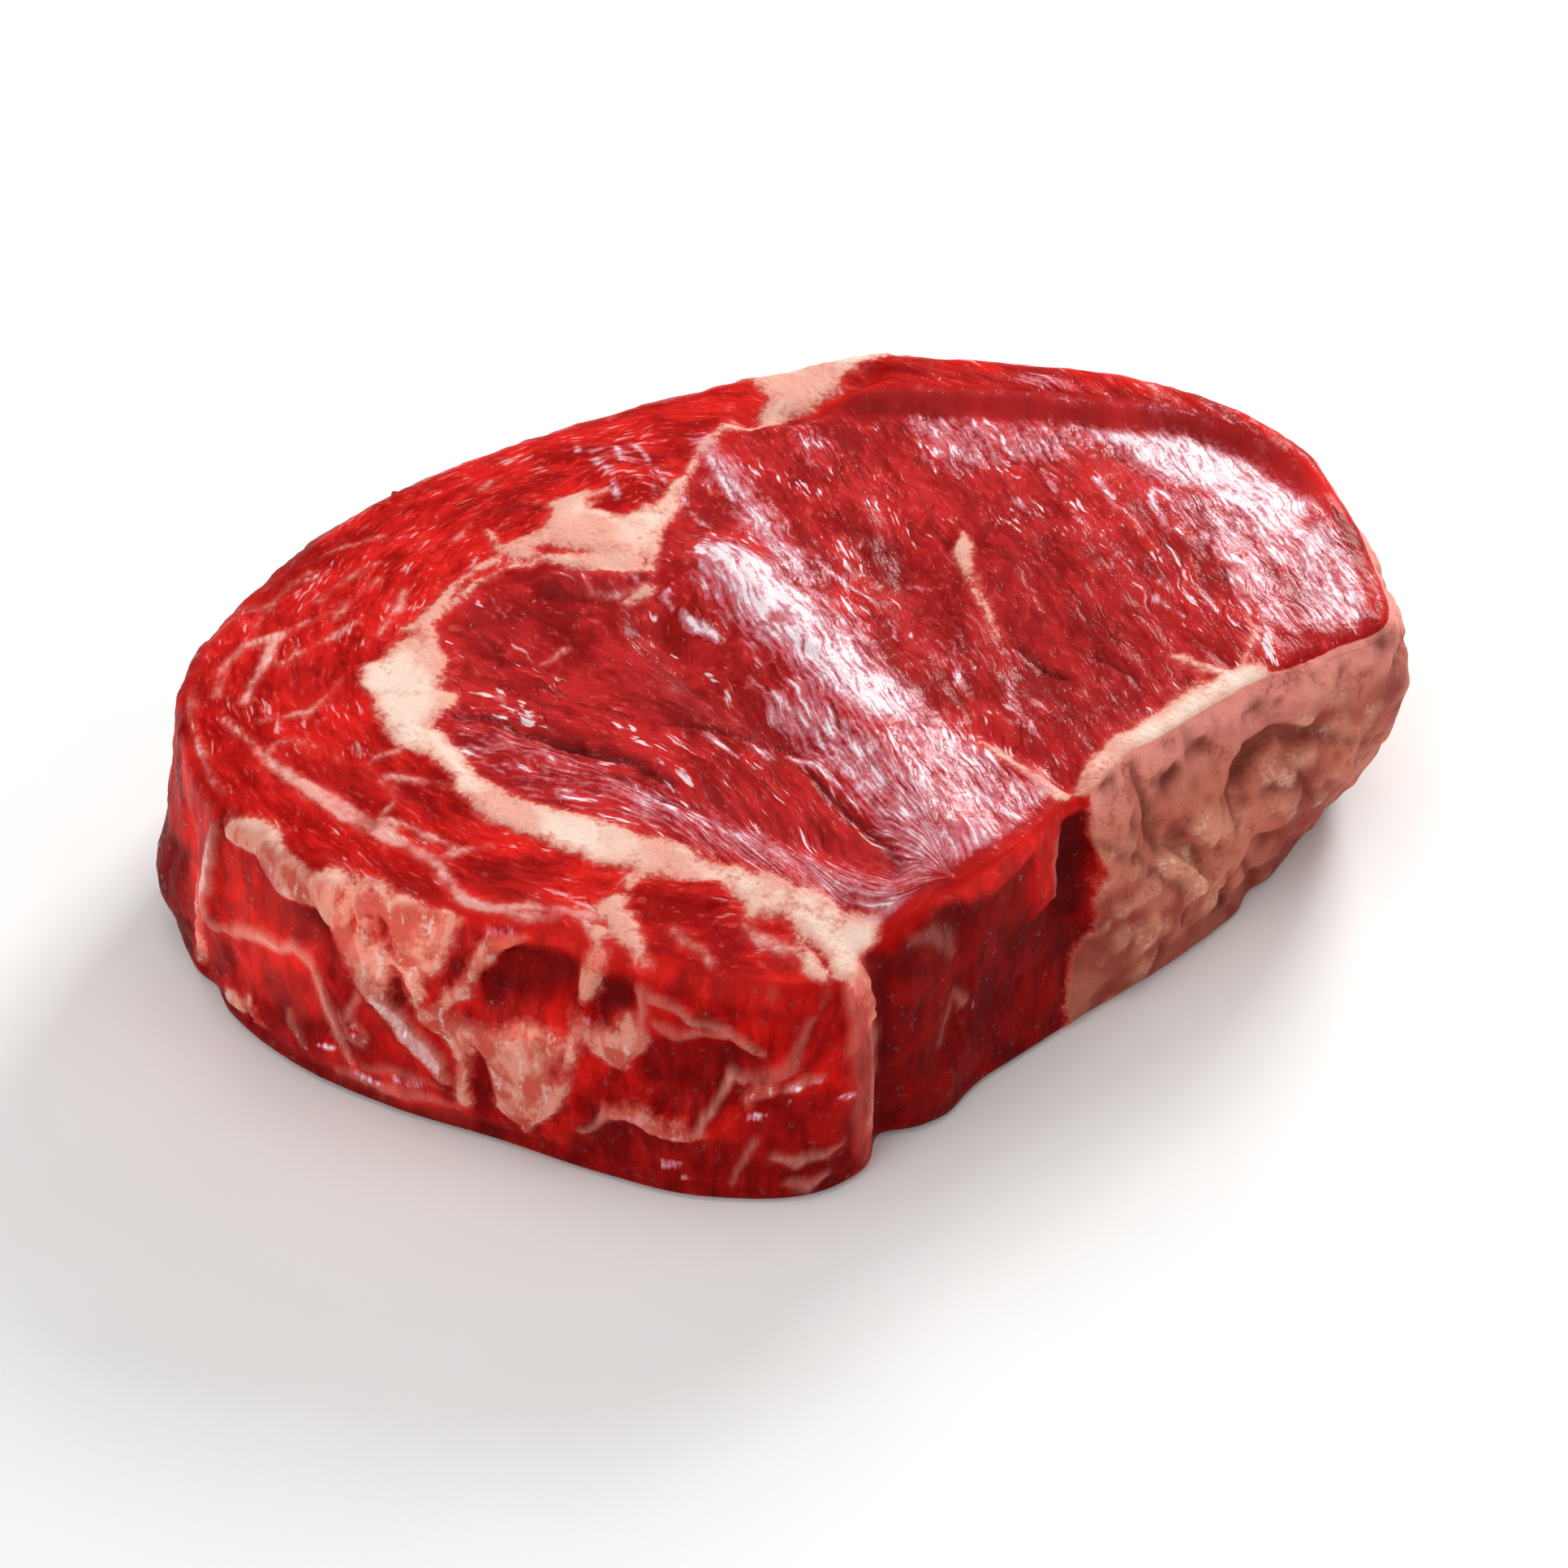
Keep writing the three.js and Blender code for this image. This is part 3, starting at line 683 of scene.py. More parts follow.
FACE_GLINTS = Marks((  # painted glints: short bright streaks of painted highlight
    Stroke(((-9.5, 37, 0.3), (-8, 33.5, 0.8), (-6, 30, 0.4)), 0.9),
    Stroke(((-4.6, 28.5, 0.3), (-3.2, 25, 0.8), (-2.4, 21, 0.4)), 0.9),
    Stroke(((-0.6, 19, 0.4), (1.4, 15.6, 0.8), (3.4, 12, 0.3)), 0.9),
    Stroke(((-12, 5, 0.5), (-10, 2.5, 0.8), (-7, -0.5, 0.4))),
    Stroke(((-14.3, 8.5, 0.4), (-13.2, 6, 0.3))),
    Stroke(((-3.4, -7, 0.3), (-1, -10.5, 0.5), (2, -14, 0.5), (5, -19, 0.5), (8, -25, 0.4),
            (11, -30, 0.4), (14.5, -36, 0.3)), 0.8),
    Stroke(((-9, -16.8, 0.3), (-7, -19, 0.6), (-5, -21, 0.4)), 0.8),
    Stroke(((-4, -18, 0.3), (-1, -21, 0.6)), 0.8),
    Stroke(((1, -19, 0.4), (4, -22.5, 0.6), (7, -27, 0.4)), 0.9),
    Stroke(((5, 15.5, 0.3), (7.5, 12.5, 0.6), (11.5, 9.3, 0.3))),
    Stroke(((9.3, 5, 0.2), (11, 2, 0.3)), 0.8),
    Stroke(((13.5, 5, 0.3), (14.3, 0.8, 0.3))),
    Stroke(((21.3, -1, 0.3), (21.6, -4.5, 0.5), (21.3, -7.5, 0.3))),
    Stroke(((19, 1, 0.2), (20.5, -2.5, 0.3)), 0.7),
    Stroke(((13, 19, 0.3), (16, 14.5, 0.5), (19, 12.5, 0.3)), 0.7),
    Stroke(((25.5, -4, 0.3), (28, -7, 0.5), (31, -11, 0.4), (33.2, -14.5, 0.2))),
    Stroke(((27.2, -9, 0.3), (29, -13.5, 0.4), (31.3, -18.5, 0.2)), 0.9),
    Stroke(((26.6, -14, 0.3), (29.5, -16.5, 0.3)), 0.8),
    Stroke(((35, 9.5, 0.3), (36, 7, 0.25)), 0.9),
    Stroke(((42, 15, 0.25), (41, 12.5, 0.3)), 0.7),
    Stroke(((33.5, 34, 0.4), (35.5, 29.5, 0.3)), 0.8),
    Stroke(((40.5, 31.5, 0.5), (41.5, 28, 0.4), (43, 23.5, 0.2))),
    Stroke(((30, 28, 0.4), (32, 23.5, 0.25)), 0.7),
    Stroke(((47.3, 29, 0.6), (47.5, 25, 0.5), (49, 19.5, 0.3))),
    Stroke(((37, 24, 0.3), (39.3, 18.5, 0.25)), 0.8),
    Stroke(((43.5, 14, 0.25), (46, 11, 0.25), (48.5, 7, 0.2)), 0.7),
    Stroke(((50, 12, 0.3), (52, 8, 0.3), (53.5, 5, 0.2)), 0.8),
    Stroke(((46, 7.5, 0.4), (48, 5.5, 0.4), (50, 3.5, 0.3)), 0.8),
    Stroke(((53, 20, 0.25), (55, 13, 0.3), (57.5, 5.5, 0.3))),
    Stroke(((3, 21, 0.3), (7, 16.8, 0.3)), 0.6),
    Stroke(((-35.5, 9, 0.25), (-33.8, 5.5, 0.3)), 0.8),
    Stroke(((-34, -9.5, 0.3), (-32.7, -11.2, 0.3)), 0.9),
    Stroke(((-18.5, -23.5, 0.3), (-15, -27, 0.7), (-12, -29.5, 0.6)), 0.9),
    Stroke(((-26.3, 41.8, 0.3), (-26.3, 40, 0.35))),
    Stroke(((-21.5, 41, 0.4), (-20.5, 36, 0.5)), 0.9),
    Stroke(((-19, 40, 0.5), (-17, 36, 0.4)), 0.9),
    Stroke(((-24, 38, 0.5), (-22.5, 34, 0.4)), 0.7),
    Stroke(((-16, 33.5, 0.4), (-14.5, 31.5, 0.4)), 0.9),
    Stroke(((-21.5, 31, 0.4), (-21, 28, 0.5)), 0.9),
    Stroke(((-13, 30, 0.3), (-12, 27.5, 0.4)), 0.9),
    Stroke(((-12, 26, 0.2), (-9, 22, 0.4), (-8.5, 20.5, 0.3)), 0.8),
), soft=0.6)

FACE_SHADE = Marks((  # painted shade in the hollows, the groove at the back, the lip's base and under the kernel's roll, and darker, bloodier lean
    Stroke(((-4, 45.5, 0.8), (4, 47.6, 1), (12, 53.5, 1.2), (20, 53, 1.6), (30, 50, 1)), 0.45),
    Patch(((12, 47.2), (20, 47.4), (30, 46.8), (40, 45.5), (50, 44.6), (57, 41.6), (62, 37), (66.5, 31.5),
           (68, 33), (62, 40.5), (52, 47), (30, 49.4), (12, 50)), 0.4),
    Patch(((8, 24), (14, 22), (22, 14), (23, 6), (19, 4), (14, 12)), 0.4),
    Patch(((28, -2), (34, -2), (38, -8), (36, -15), (32, -13)), 0.35),
    Patch(((-22, -4), (-12, -3), (-4, -11), (2, -18), (-8, -16), (-18, -13)), 0.5),
    Patch(((-38, 8), (-26, 8), (-24, 2), (-34, -4), (-39, -2)), 0.25),
    Stroke(((-30, 9.2, 0.5), (-24, 8.6, 0.8), (-17, 7.2, 0.5)), 0.8),
    Stroke(((-33, 12.5, 0.5), (-29, 13.6, 0.8), (-24, 13.4, 0.4)), 0.8),
    Patch(((-60, -4), (-52, -2), (-51, -12), (-56, -12), (-60, -9)), 0.4),
    Patch(((-58, -21), (-50, -22), (-46, -28), (-50, -28.5), (-55, -25.5)), 0.6),
    Patch(((-46, -21), (-40, -22), (-36.5, -29), (-34, -35), (-42, -32), (-46, -27)), 0.35),
    Patch(((-36, -39), (-28, -38), (-24, -40.5), (-28, -43.5), (-34, -42)), 0.5),
    Patch(((-39, 25.5), (-34, 28.5), (-29.5, 28.5), (-30, 26), (-36, 25)), 0.6),
), soft=1.2)

FACE_GLOOM = (  # broad, faint painted shade, mostly over the face's hollows
    Swell((34, 0), (17, 16), 0.42),
    Swell((24, 14), (10, 9), 0.2),
    Swell((-20, -4), (12, 8), 0.22),
    Swell((-50, -24), (10, 7), 0.3),
)

FACE_CREASES = Marks((  # thin gaps between bundles of fibres, sunk, with painted shade in them
    Stroke(((-39, -13.5, 0.2), (-34, -14, 0.35), (-28, -16.2, 0.3), (-24, -18, 0.4), (-18, -20.7, 0.35),
            (-12, -24.7, 0.2)), 0.9),
    Stroke(((-20, -22.2, 0.2), (-16, -25.6, 0.4), (-13, -28, 0.4), (-9, -28.6, 0.2)), 0.9),
    Stroke(((-28, -24, 0.2), (-23, -25.5, 0.3), (-20.5, -28, 0.2)), 0.7),
    Stroke(((2, -22, 0.3), (6, -28, 0.5), (10, -34, 0.45), (13.5, -38.5, 0.3)), 0.8),
    Stroke(((-14, -15, 0.2), (-6, -16.5, 0.4), (3, -18.4, 0.2)), 0.8),
    Stroke(((-30, 6, 0.2), (-26, 2.5, 0.3), (-24, -1, 0.2)), 0.5),
    Stroke(((-37, 3.5, 0.2), (-35, 0.5, 0.3), (-33.5, -3, 0.2)), 0.5),
    Stroke(((1, -3, 0.3), (5, -8, 0.5), (8, -13, 0.3)), 0.8),
    Stroke(((6, -16, 0.3), (9, -22, 0.4), (12, -29, 0.2)), 0.6),
    Stroke(((14, -20, 0.2), (17, -27, 0.3), (18.5, -33, 0.2)), 0.5),
    Stroke(((20, 7, 0.2), (22.5, 3, 0.4), (23, -1, 0.2)), 0.6),
    Stroke(((29, 0, 0.2), (32, -3.5, 0.35), (35, -5, 0.2)), 0.8),
    Stroke(((10, 8, 0.2), (13, 4.5, 0.3), (14, 1.5, 0.2)), 0.6),
    Stroke(((46, 24, 0.2), (48.5, 18, 0.3), (50, 13, 0.2)), 0.5),
    Stroke(((-48.6, -10.4, 0.1), (-46.5, -9.2, 0.25), (-44, -10.1, 0.2), (-41.5, -9.2, 0.2)), 0.45),
    Stroke(((-44, 2, 0.1), (-43.2, -1, 0.2), (-44.1, -4, 0.15), (-43.5, -7.5, 0.2)), 0.4),
    Stroke(((38, -2, 0.2), (42, -5, 0.3), (44, -9, 0.2)), 0.6),
), soft=0.35)


# -------- what lies on the wall
# Places are runs along the rim from the front corner and heights over the lower face.

CAP_WALL = Patch((
    (41.5, 40), (42, 28), (43.5, 22), (43, 17), (42.5, 13.5), (38.5, 11), (37.5, 6), (38, -6),
    (188, -6), (189, 4), (193, 9), (191, 14), (196, 19), (195, 25), (198.5, 30), (199, 40),
))

WALL_FAT = Marks((
    Patch(((-77, 37), (-77, 33.5), (-74.5, 30.5), (-70, 31), (-66, 28), (-62, 28), (-58.5, 27),
           (-60, 37))),
    Patch(((-60, 37), (-60, 33), (-58.7, 28), (-57.8, 24), (-56, 20.5), (-54.8, 18.4), (-53, 18.2),
           (-52.2, 21.4), (-51.6, 24.6), (-50.2, 22.6), (-49.4, 18.6), (-48, 22), (-46.3, 25), (-45, 28),
           (-43.5, 31), (-43, 33.5), (-45, 37))),
    Stroke(((-36.5, 31.3, 0.9), (-39, 30, 1.3), (-41, 28, 1.1), (-43.5, 23.5, 0.6), (-45.5, 20.5, 0.5),
            (-48, 18, 0.8))),
    Patch(((-49, 17.5), (-46, 18.7), (-43, 18.3), (-40, 18.5), (-37.5, 20), (-35, 20.4), (-32.4, 19.8),
           (-31.3, 18.3), (-32.2, 15.5), (-33.2, 12.5), (-34.5, 10.3), (-36, 8.4), (-37.6, 6),
           (-39.2, 6.2), (-40.6, 8.2), (-41.2, 11.5), (-42, 14.5), (-43.4, 15), (-44.5, 11.5),
           (-46, 14.5))),
    Stroke(((-45, 6.4, 0.8), (-44.9, 9, 0.4), (-44.4, 13, 0.3))),
    Stroke(((-37, 5.8, 0.6), (-33.5, 10.2, 0.5), (-31.6, 15, 0.5), (-30.4, 19, 0.6), (-29.2, 22.4, 0.8))),
    Stroke(((-29, 25, 0.4), (-28.2, 27.5, 1.1), (-27, 30, 1), (-25.3, 32, 0.7), (-24.4, 34, 0.6))),
    Patch(((-28.2, 22.3), (-26.8, 23), (-25, 22.4), (-24, 24.2), (-23, 24.3), (-22.3, 22.6),
           (-21.8, 21.4), (-22.3, 19.6), (-23.6, 18.4), (-24.4, 17), (-25.6, 16.8), (-26.6, 18),
           (-28, 18.8), (-28.7, 20.4))),
    Stroke(((-26.3, 11, 0.9), (-24, 11.4, 1.3), (-22, 11.6, 1), (-20.8, 10.4, 1), (-19, 10.3, 0.6),
            (-16, 10.7, 0.4))),
    Stroke(((-14, 34, 0.5), (-19, 32.4, 0.4), (-22, 31.6, 0.5), (-24.4, 33.2, 0.4))),
    Stroke(((-9.6, 15.4, 0.5), (-8, 16.4, 0.8), (-6.8, 17, 0.4))),
    Stroke(((2.8, 35, 1.4), (4, 30, 1.2), (5, 26.5, 1), (5.8, 22, 0.9))),
    Patch(((-206, 40), (-206, 29), (-203.6, 25), (-201, 27), (-199.4, 31), (-196, 33), (-194, 40))),
    Patch(((206, 40), (206, 29), (203.6, 27), (201, 30), (199, 40))),
    Stroke(((-152, 38, 0.8), (-149, 29, 0.7), (-144.5, 21, 1.5), (-142, 14, 1.2), (-145, 7, 0.3))),
    Stroke(((-145, 20, 0.4), (-139, 18, 0.9), (-135.5, 19.5, 0.3))),
    Stroke(((-191, 27, 0.3), (-187, 19, 0.7), (-182, 10, 1.5), (-177, 6, 0.5))),
    Stroke(((-87, 4, 0.4), (-85.6, 7.5, 0.9), (-84.6, 12, 0.5), (-84.2, 15, 0.2))),
    Stroke(((-80, 4.6, 0.4), (-77, 5.2, 0.7), (-75, 6.6, 0.6), (-74.2, 4.2, 0.5))),
))

WALL_LEAN = Marks((  # red threads inside the fat
    Stroke(((-58, 30, 0.2), (-57, 32.4, 0.4), (-54.4, 33, 0.3), (-51.6, 32.2, 0.1))),
    Stroke(((-56.6, 31.6, 0.4), (-56, 29.4, 0.5), (-55.4, 27.4, 0.1))),
    Stroke(((-53.4, 30.4, 0.1), (-53.4, 28, 0.4), (-54, 25.4, 0.1))),
    Stroke(((-52.2, 30.2, 0.1), (-51.8, 27.6, 0.4), (-51.6, 25, 0.1))),
    Stroke(((-49.6, 34.8, 0.1), (-48.2, 33.8, 0.3), (-46.6, 33, 0.1))),
    Stroke(((-74.5, 35.2, 0.1), (-75, 33, 0.4), (-76, 31.2, 0.1))),
    Stroke(((-66, 35.6, 0.6), (-63.6, 34.6, 1), (-61.4, 34, 0.5))),
    Stroke(((-42.6, 12.6, 0.2), (-42.2, 9.6, 0.6), (-42.6, 6.6, 0.3))),
))

WALL_FILM = Marks((  # membranes and silverskin
    Stroke(((-77.5, 30.5, 0.6), (-78.4, 27, 0.8), (-79.8, 22.5, 0.9), (-81.6, 18.5, 0.7), (-81, 16, 0.6),
            (-78.5, 15.6, 0.4)), 0.9),
    Stroke(((-77.5, 16, 0.4), (-75, 18, 0.7), (-72, 19, 0.9), (-68, 19.8, 0.7), (-66, 20.6, 0.6),
            (-64, 18.4, 0.8), (-62.5, 13, 0.9), (-61.4, 9, 0.8), (-60.2, 5, 0.5)), 0.8),
    Stroke(((-55.4, 21.4, 0.4), (-53.4, 18.4, 0.9), (-50.4, 15, 1), (-47.8, 11.8, 0.9),
            (-46.2, 9.4, 0.3))),
    Stroke(((-56.5, 18.5, 0.4), (-58, 15, 0.5), (-59, 12.8, 0.3)), 0.6),
    Stroke(((-60, 12.6, 0.4), (-59.6, 10.2, 0.4), (-57.6, 9.8, 0.4), (-56.6, 11.4, 0.4),
            (-57.6, 13, 0.4)), 0.5),
    Stroke(((-67.8, 9.8, 0.4), (-68, 7.8, 0.5), (-66.6, 5.6, 0.5)), 0.5),
    Stroke(((-84, 20, 0.5), (-84.6, 14, 0.7), (-85.6, 9, 1), (-86.4, 5.5, 0.7)), 0.6),
    Stroke(((-22.4, 22.8, 0.3), (-21.6, 26, 0.4), (-21.4, 28.2, 0.5), (-19, 27.5, 0.4), (-17.5, 27, 0.4),
            (-16.5, 25.5, 0.5), (-13.5, 25, 0.4), (-11, 24.2, 0.5), (-9.5, 23, 0.5),
            (-8.4, 21.8, 0.3)), 0.8),
    Stroke(((-20.4, 24.3, 0.5), (-18.5, 22.6, 0.8), (-16, 23.4, 0.7), (-12, 23.6, 0.5)), 0.45),
    Stroke(((-30, 7, 0.3), (-28, 9, 0.4), (-26.6, 11, 0.5)), 0.9),
    Stroke(((-16, 10.8, 0.4), (-14, 14, 0.4), (-12.6, 17, 0.5), (-11.6, 18.5, 0.5),
            (-10.4, 17.6, 0.4)), 0.9),
    Stroke(((-10.6, 18.2, 0.5), (-8, 18.6, 1.1), (-5, 20.4, 1), (-3.6, 23, 0.6), (-2, 26, 0.3)), 0.35),
    Stroke(((-5.2, 17, 0.5), (-4, 17.4, 0.8), (-3, 18, 0.4), (-1, 18.3, 0.2)), 0.8),
    Stroke(((-9, 31, 0.4), (-6.5, 29.2, 0.7), (-3.5, 30, 0.7), (-0.5, 28.8, 0.5)), 0.55),
    Stroke(((-6.5, 7, 0.3), (-4, 6, 0.8), (-1, 6.8, 0.5), (1.5, 7.6, 0.2)), 0.7),
    Stroke(((-5.4, 3.6, 0.3), (-2.8, 2.4, 0.9), (0, 3.2, 0.4)), 0.6),
    Stroke(((-12, 3, 0.3), (-10, 7, 0.4), (-9, 9.6, 0.3)), 0.5),
    Stroke(((2, 29, 0.6), (3, 24, 1.2), (2.4, 20.5, 0.9)), 0.4),
    Stroke(((3.2, 33, 1.8), (4.2, 22, 2.2), (4.2, 10, 1.8), (5, 3, 1)), 0.22),
    Stroke(((-62, 3, 0.4), (-56, 3.4, 0.9), (-50, 5, 0.8), (-46, 4.6, 0.3)), 0.35),
    Stroke(((-58, 6.4, 0.3), (-52, 7.2, 0.7), (-47.4, 7.6, 0.3)), 0.3),
    Stroke(((6, 22, 0.9), (6.5, 18, 0.8), (6, 12.5, 0.8), (5, 9, 0.8), (6, 5.5, 0.4)), 0.7),
    Stroke(((11.5, 30, 0.5), (15, 29.2, 1), (17.6, 26.8, 0.9), (18.6, 23.5, 0.4)), 0.35),
    Stroke(((18.5, 17.4, 0.3), (19.8, 15.2, 0.5)), 0.5),
    Stroke(((17.6, 16, 0.4), (17, 11, 0.5)), 0.35),
    Stroke(((36, 30.6, 0.4), (35.4, 27, 0.4), (35.2, 22.5, 0.4)), 0.7),
    Stroke(((-119, 30, 0.3), (-123, 23, 1.2), (-130, 17, 2), (-134, 9, 0.6), (-131, 4, 0.2)), 0.24),
    Stroke(((-123, 24, 0.3), (-118, 18, 0.8), (-117, 12, 0.3)), 0.2),
    Stroke(((-160, 30, 0.3), (-158, 22, 1.4), (-161, 14, 2), (-168, 8, 0.5)), 0.26),
    Stroke(((-176, 30, 0.3), (-180, 24, 1.4), (-176, 17, 0.8), (-172, 14, 0.3)), 0.24),
    Stroke(((-98, 28, 0.4), (-104, 20, 1.4), (-101, 12, 0.8), (-106, 6, 0.4)), 0.26),
), soft=0.6)

# painted shade in the wall's recesses and low down, and darker muscle
WALL_SHADE = Marks((
    Patch(((6.5, 29), (18, 31), (30, 31), (31, 22), (35, 22), (42.5, 14), (38, 11), (38, -3),
           (6.5, -3)), 0.75),
    Patch(((-30, 12), (-20, 9), (-12, 9), (-9, 14), (-2, 16), (4, 12), (4, -3), (-30, -3)), 0.55),
    Patch(((-22, 22), (-12, 22.5), (-8, 17), (-14, 11), (-22, 13)), 0.35),
    Patch(((36, 30.5), (41.5, 31), (42.2, 22), (42, 16.5), (38, 15), (36.6, 20))),
    Stroke(((4.6, 33, 0.3), (6.8, 28, 0.6), (7.6, 20, 0.7), (7, 13, 0.7), (8.5, 6, 1),
            (9, 0, 1.2)), 0.9),
    Patch(((-71, 28), (-66, 27.5), (-61, 27), (-58.5, 24), (-60, 19), (-64, 21.5), (-69, 21.5)), 0.6),
    Patch(((-52.2, 24), (-50, 20), (-49.6, 17), (-51.4, 18.5)), 0.9),
    Patch(((-44, 30), (-43, 30.5), (-43.4, 26), (-45.5, 22), (-46.4, 23.5), (-44.8, 27)), 0.7),
    Patch(((-38, 30), (-29.5, 29.4), (-29.8, 26), (-36, 23), (-41, 21.5), (-41.5, 24.5)), 0.8),
    Patch(((-27, 29.5), (-22.4, 29), (-22.6, 25.5), (-26, 23.8), (-28, 25))),
    Patch(((-21.5, 22), (-12, 22.5), (-9, 20.8), (-12.6, 18.5), (-14, 15), (-20, 13), (-22.6, 17)), 0.6),
    Patch(((-73, 15), (-62.5, 18), (-61, 10), (-66, 6), (-71, 8)), 0.4),
    Patch(((-90, -2), (-40, -3), (0, -3), (6, 3), (-30, 3.4), (-60, 3), (-80, 4)), 0.7),
    Patch(((-103, 16), (-90, 17), (-88, 8), (-90, -2), (-104, -2)), 0.8),
    Patch(((-9, 28), (0, 27), (1, 24), (-6, 24.5)), 0.4),
    Patch(((-130, 24), (-112, 20), (-106, 9), (-118, 3), (-134, 6), (-138, 16)), 0.6),
    Patch(((-172, 30), (-160, 26), (-152, 14), (-158, 2), (-176, 1), (-180, 16)), 0.55),
    Patch(((-206, 22), (-196, 26), (-186, 20), (-188, 6), (-206, 2)), 0.5),
    Patch(((206, 22), (200, 20), (196, 8), (206, 2)), 0.5),
    Patch(((-150, 34), (-138, 33), (-140, 24), (-148, 26)), 0.5),
    Stroke(((-0.6, 28, 0.2), (-2, 24, 0.35), (-4.6, 20.4, 0.2)), 0.9),
    Stroke(((0.4, 27, 0.2), (-0.8, 22.6, 0.35), (-3, 19, 0.2)), 0.8),
    Stroke(((-43, 14, 0.8), (-42.4, 9, 1.2), (-42.2, 6, 0.9)), 0.7),
), soft=1.4)

WALL_GLINTS = Marks((  # painted glints where the wet wall catches the light
    Stroke(((-5.6, 34.6, 0.3), (-3.6, 33.8, 0.45), (-2.2, 32.4, 0.4)), 1.8),
    Stroke(((-1.9, 30.6, 0.3), (-1.3, 30, 0.3)), 0.8),
    Stroke(((-4.4, 17.4, 0.5), (-3.4, 17.2, 0.4)), 0.7),
    Stroke(((-2.6, 18, 0.2), (-1, 17.8, 0.2)), 0.6),
    Stroke(((1.2, 15, 0.4), (2, 14.4, 0.4)), 0.9),
    Stroke(((-9, 13, 0.4), (-8.2, 13, 0.4)), 0.7),
    Stroke(((-5, 15.4, 0.15), (-4.8, 14.2, 0.15)), 0.8),
    Stroke(((-20.7, 9.2, 0.5), (-20.2, 10.2, 0.3)), 0.7),
    Stroke(((-26, 11.2, 0.5), (-22.5, 11.7, 0.5)), 0.5),
    Stroke(((-18.6, 10.3, 0.35), (-16.2, 10.8, 0.3)), 0.5),
    Stroke(((-20.4, 4.6, 0.4), (-19, 4.4, 0.4)), 0.6),
    Stroke(((-18.5, 3, 0.3), (-17.8, 3, 0.3)), 0.5),
    Stroke(((-59.6, 3.6, 0.6), (-56, 4.4, 0.6)), 0.75),
    Stroke(((-53.4, 5.6, 0.5), (-50, 6.6, 0.5)), 0.7),
    Stroke(((-51.2, 7.3, 0.2), (-49.6, 7.4, 0.2)), 0.6),
    Stroke(((-64, 6.4, 0.5), (-62.6, 6.6, 0.4)), 0.7),
    Stroke(((-67.2, 6.4, 0.4), (-66, 5, 0.3)), 0.6),
    Stroke(((-57.6, 12.7, 0.2), (-59.2, 11.6, 0.25), (-58, 10.2, 0.25), (-56.2, 10.7, 0.2)), 0.6),
    Stroke(((-78, 29.4, 0.4), (-77.7, 27.6, 0.4)), 0.45),
    Stroke(((-67.2, 31.4, 0.8), (-66, 28.4, 0.7)), 0.45),
    Stroke(((-55, 31.3, 0.4), (-51.8, 31, 0.4)), 0.5),
    Stroke(((-53, 18, 0.4), (-50.4, 15, 0.5), (-48, 12, 0.3)), 0.7),
    Stroke(((-40, 31.2, 0.3), (-37.2, 31.9, 0.4)), 0.5),
    Stroke(((-29.8, 21.2, 0.2), (-28.3, 22.8, 0.3)), 0.6),
    Stroke(((38.2, 24, 0.3), (39, 21.6, 0.5), (38.6, 19.4, 0.3)), 0.45),
    Stroke(((21.4, 14.6, 0.2), (21.8, 13.2, 0.3)), 0.5),
), soft=0.3)

WALL_PAINTED_LIGHT = Marks((  # painted light: places of the wall made brighter and pinker
    Patch(((-76.5, 30), (-64, 27.5), (-61.5, 22), (-64, 14), (-71, 9), (-77, 14)), 0.75),
    Patch(((-70, 22), (-64, 20), (-62, 11), (-67, 9)), 0.8),
    Patch(((-61, 37), (-58, 26), (-50, 20), (-42, 29), (-42, 37)), 0.45),
    Patch(((-41, 33), (-22, 33), (-2, 34.5), (1, 30), (-8, 28), (-24, 30.5), (-38, 30)), 0.7),
    Patch(((30, 33), (35.2, 32), (35.2, 22.5), (31, 23)), 0.3),
    Stroke(((8, 33.5, 1.6), (20, 34, 1.8), (36, 34, 1.8)), 0.9),
    Patch(((-90, 33), (-78, 32), (-81, 18), (-82, 8), (-90, 8))),
    Stroke(((-62, 4, 2.5), (-54, 4.5, 2.5), (-46, 3, 1.5)), 0.7),
    Stroke(((4, 32, 2.5), (5, 20, 2), (5, 8, 1.5)), 0.5),
    Patch(((-42, 21), (-33, 22), (-31, 19), (-40, 17)), 0.5),
), soft=1.6)

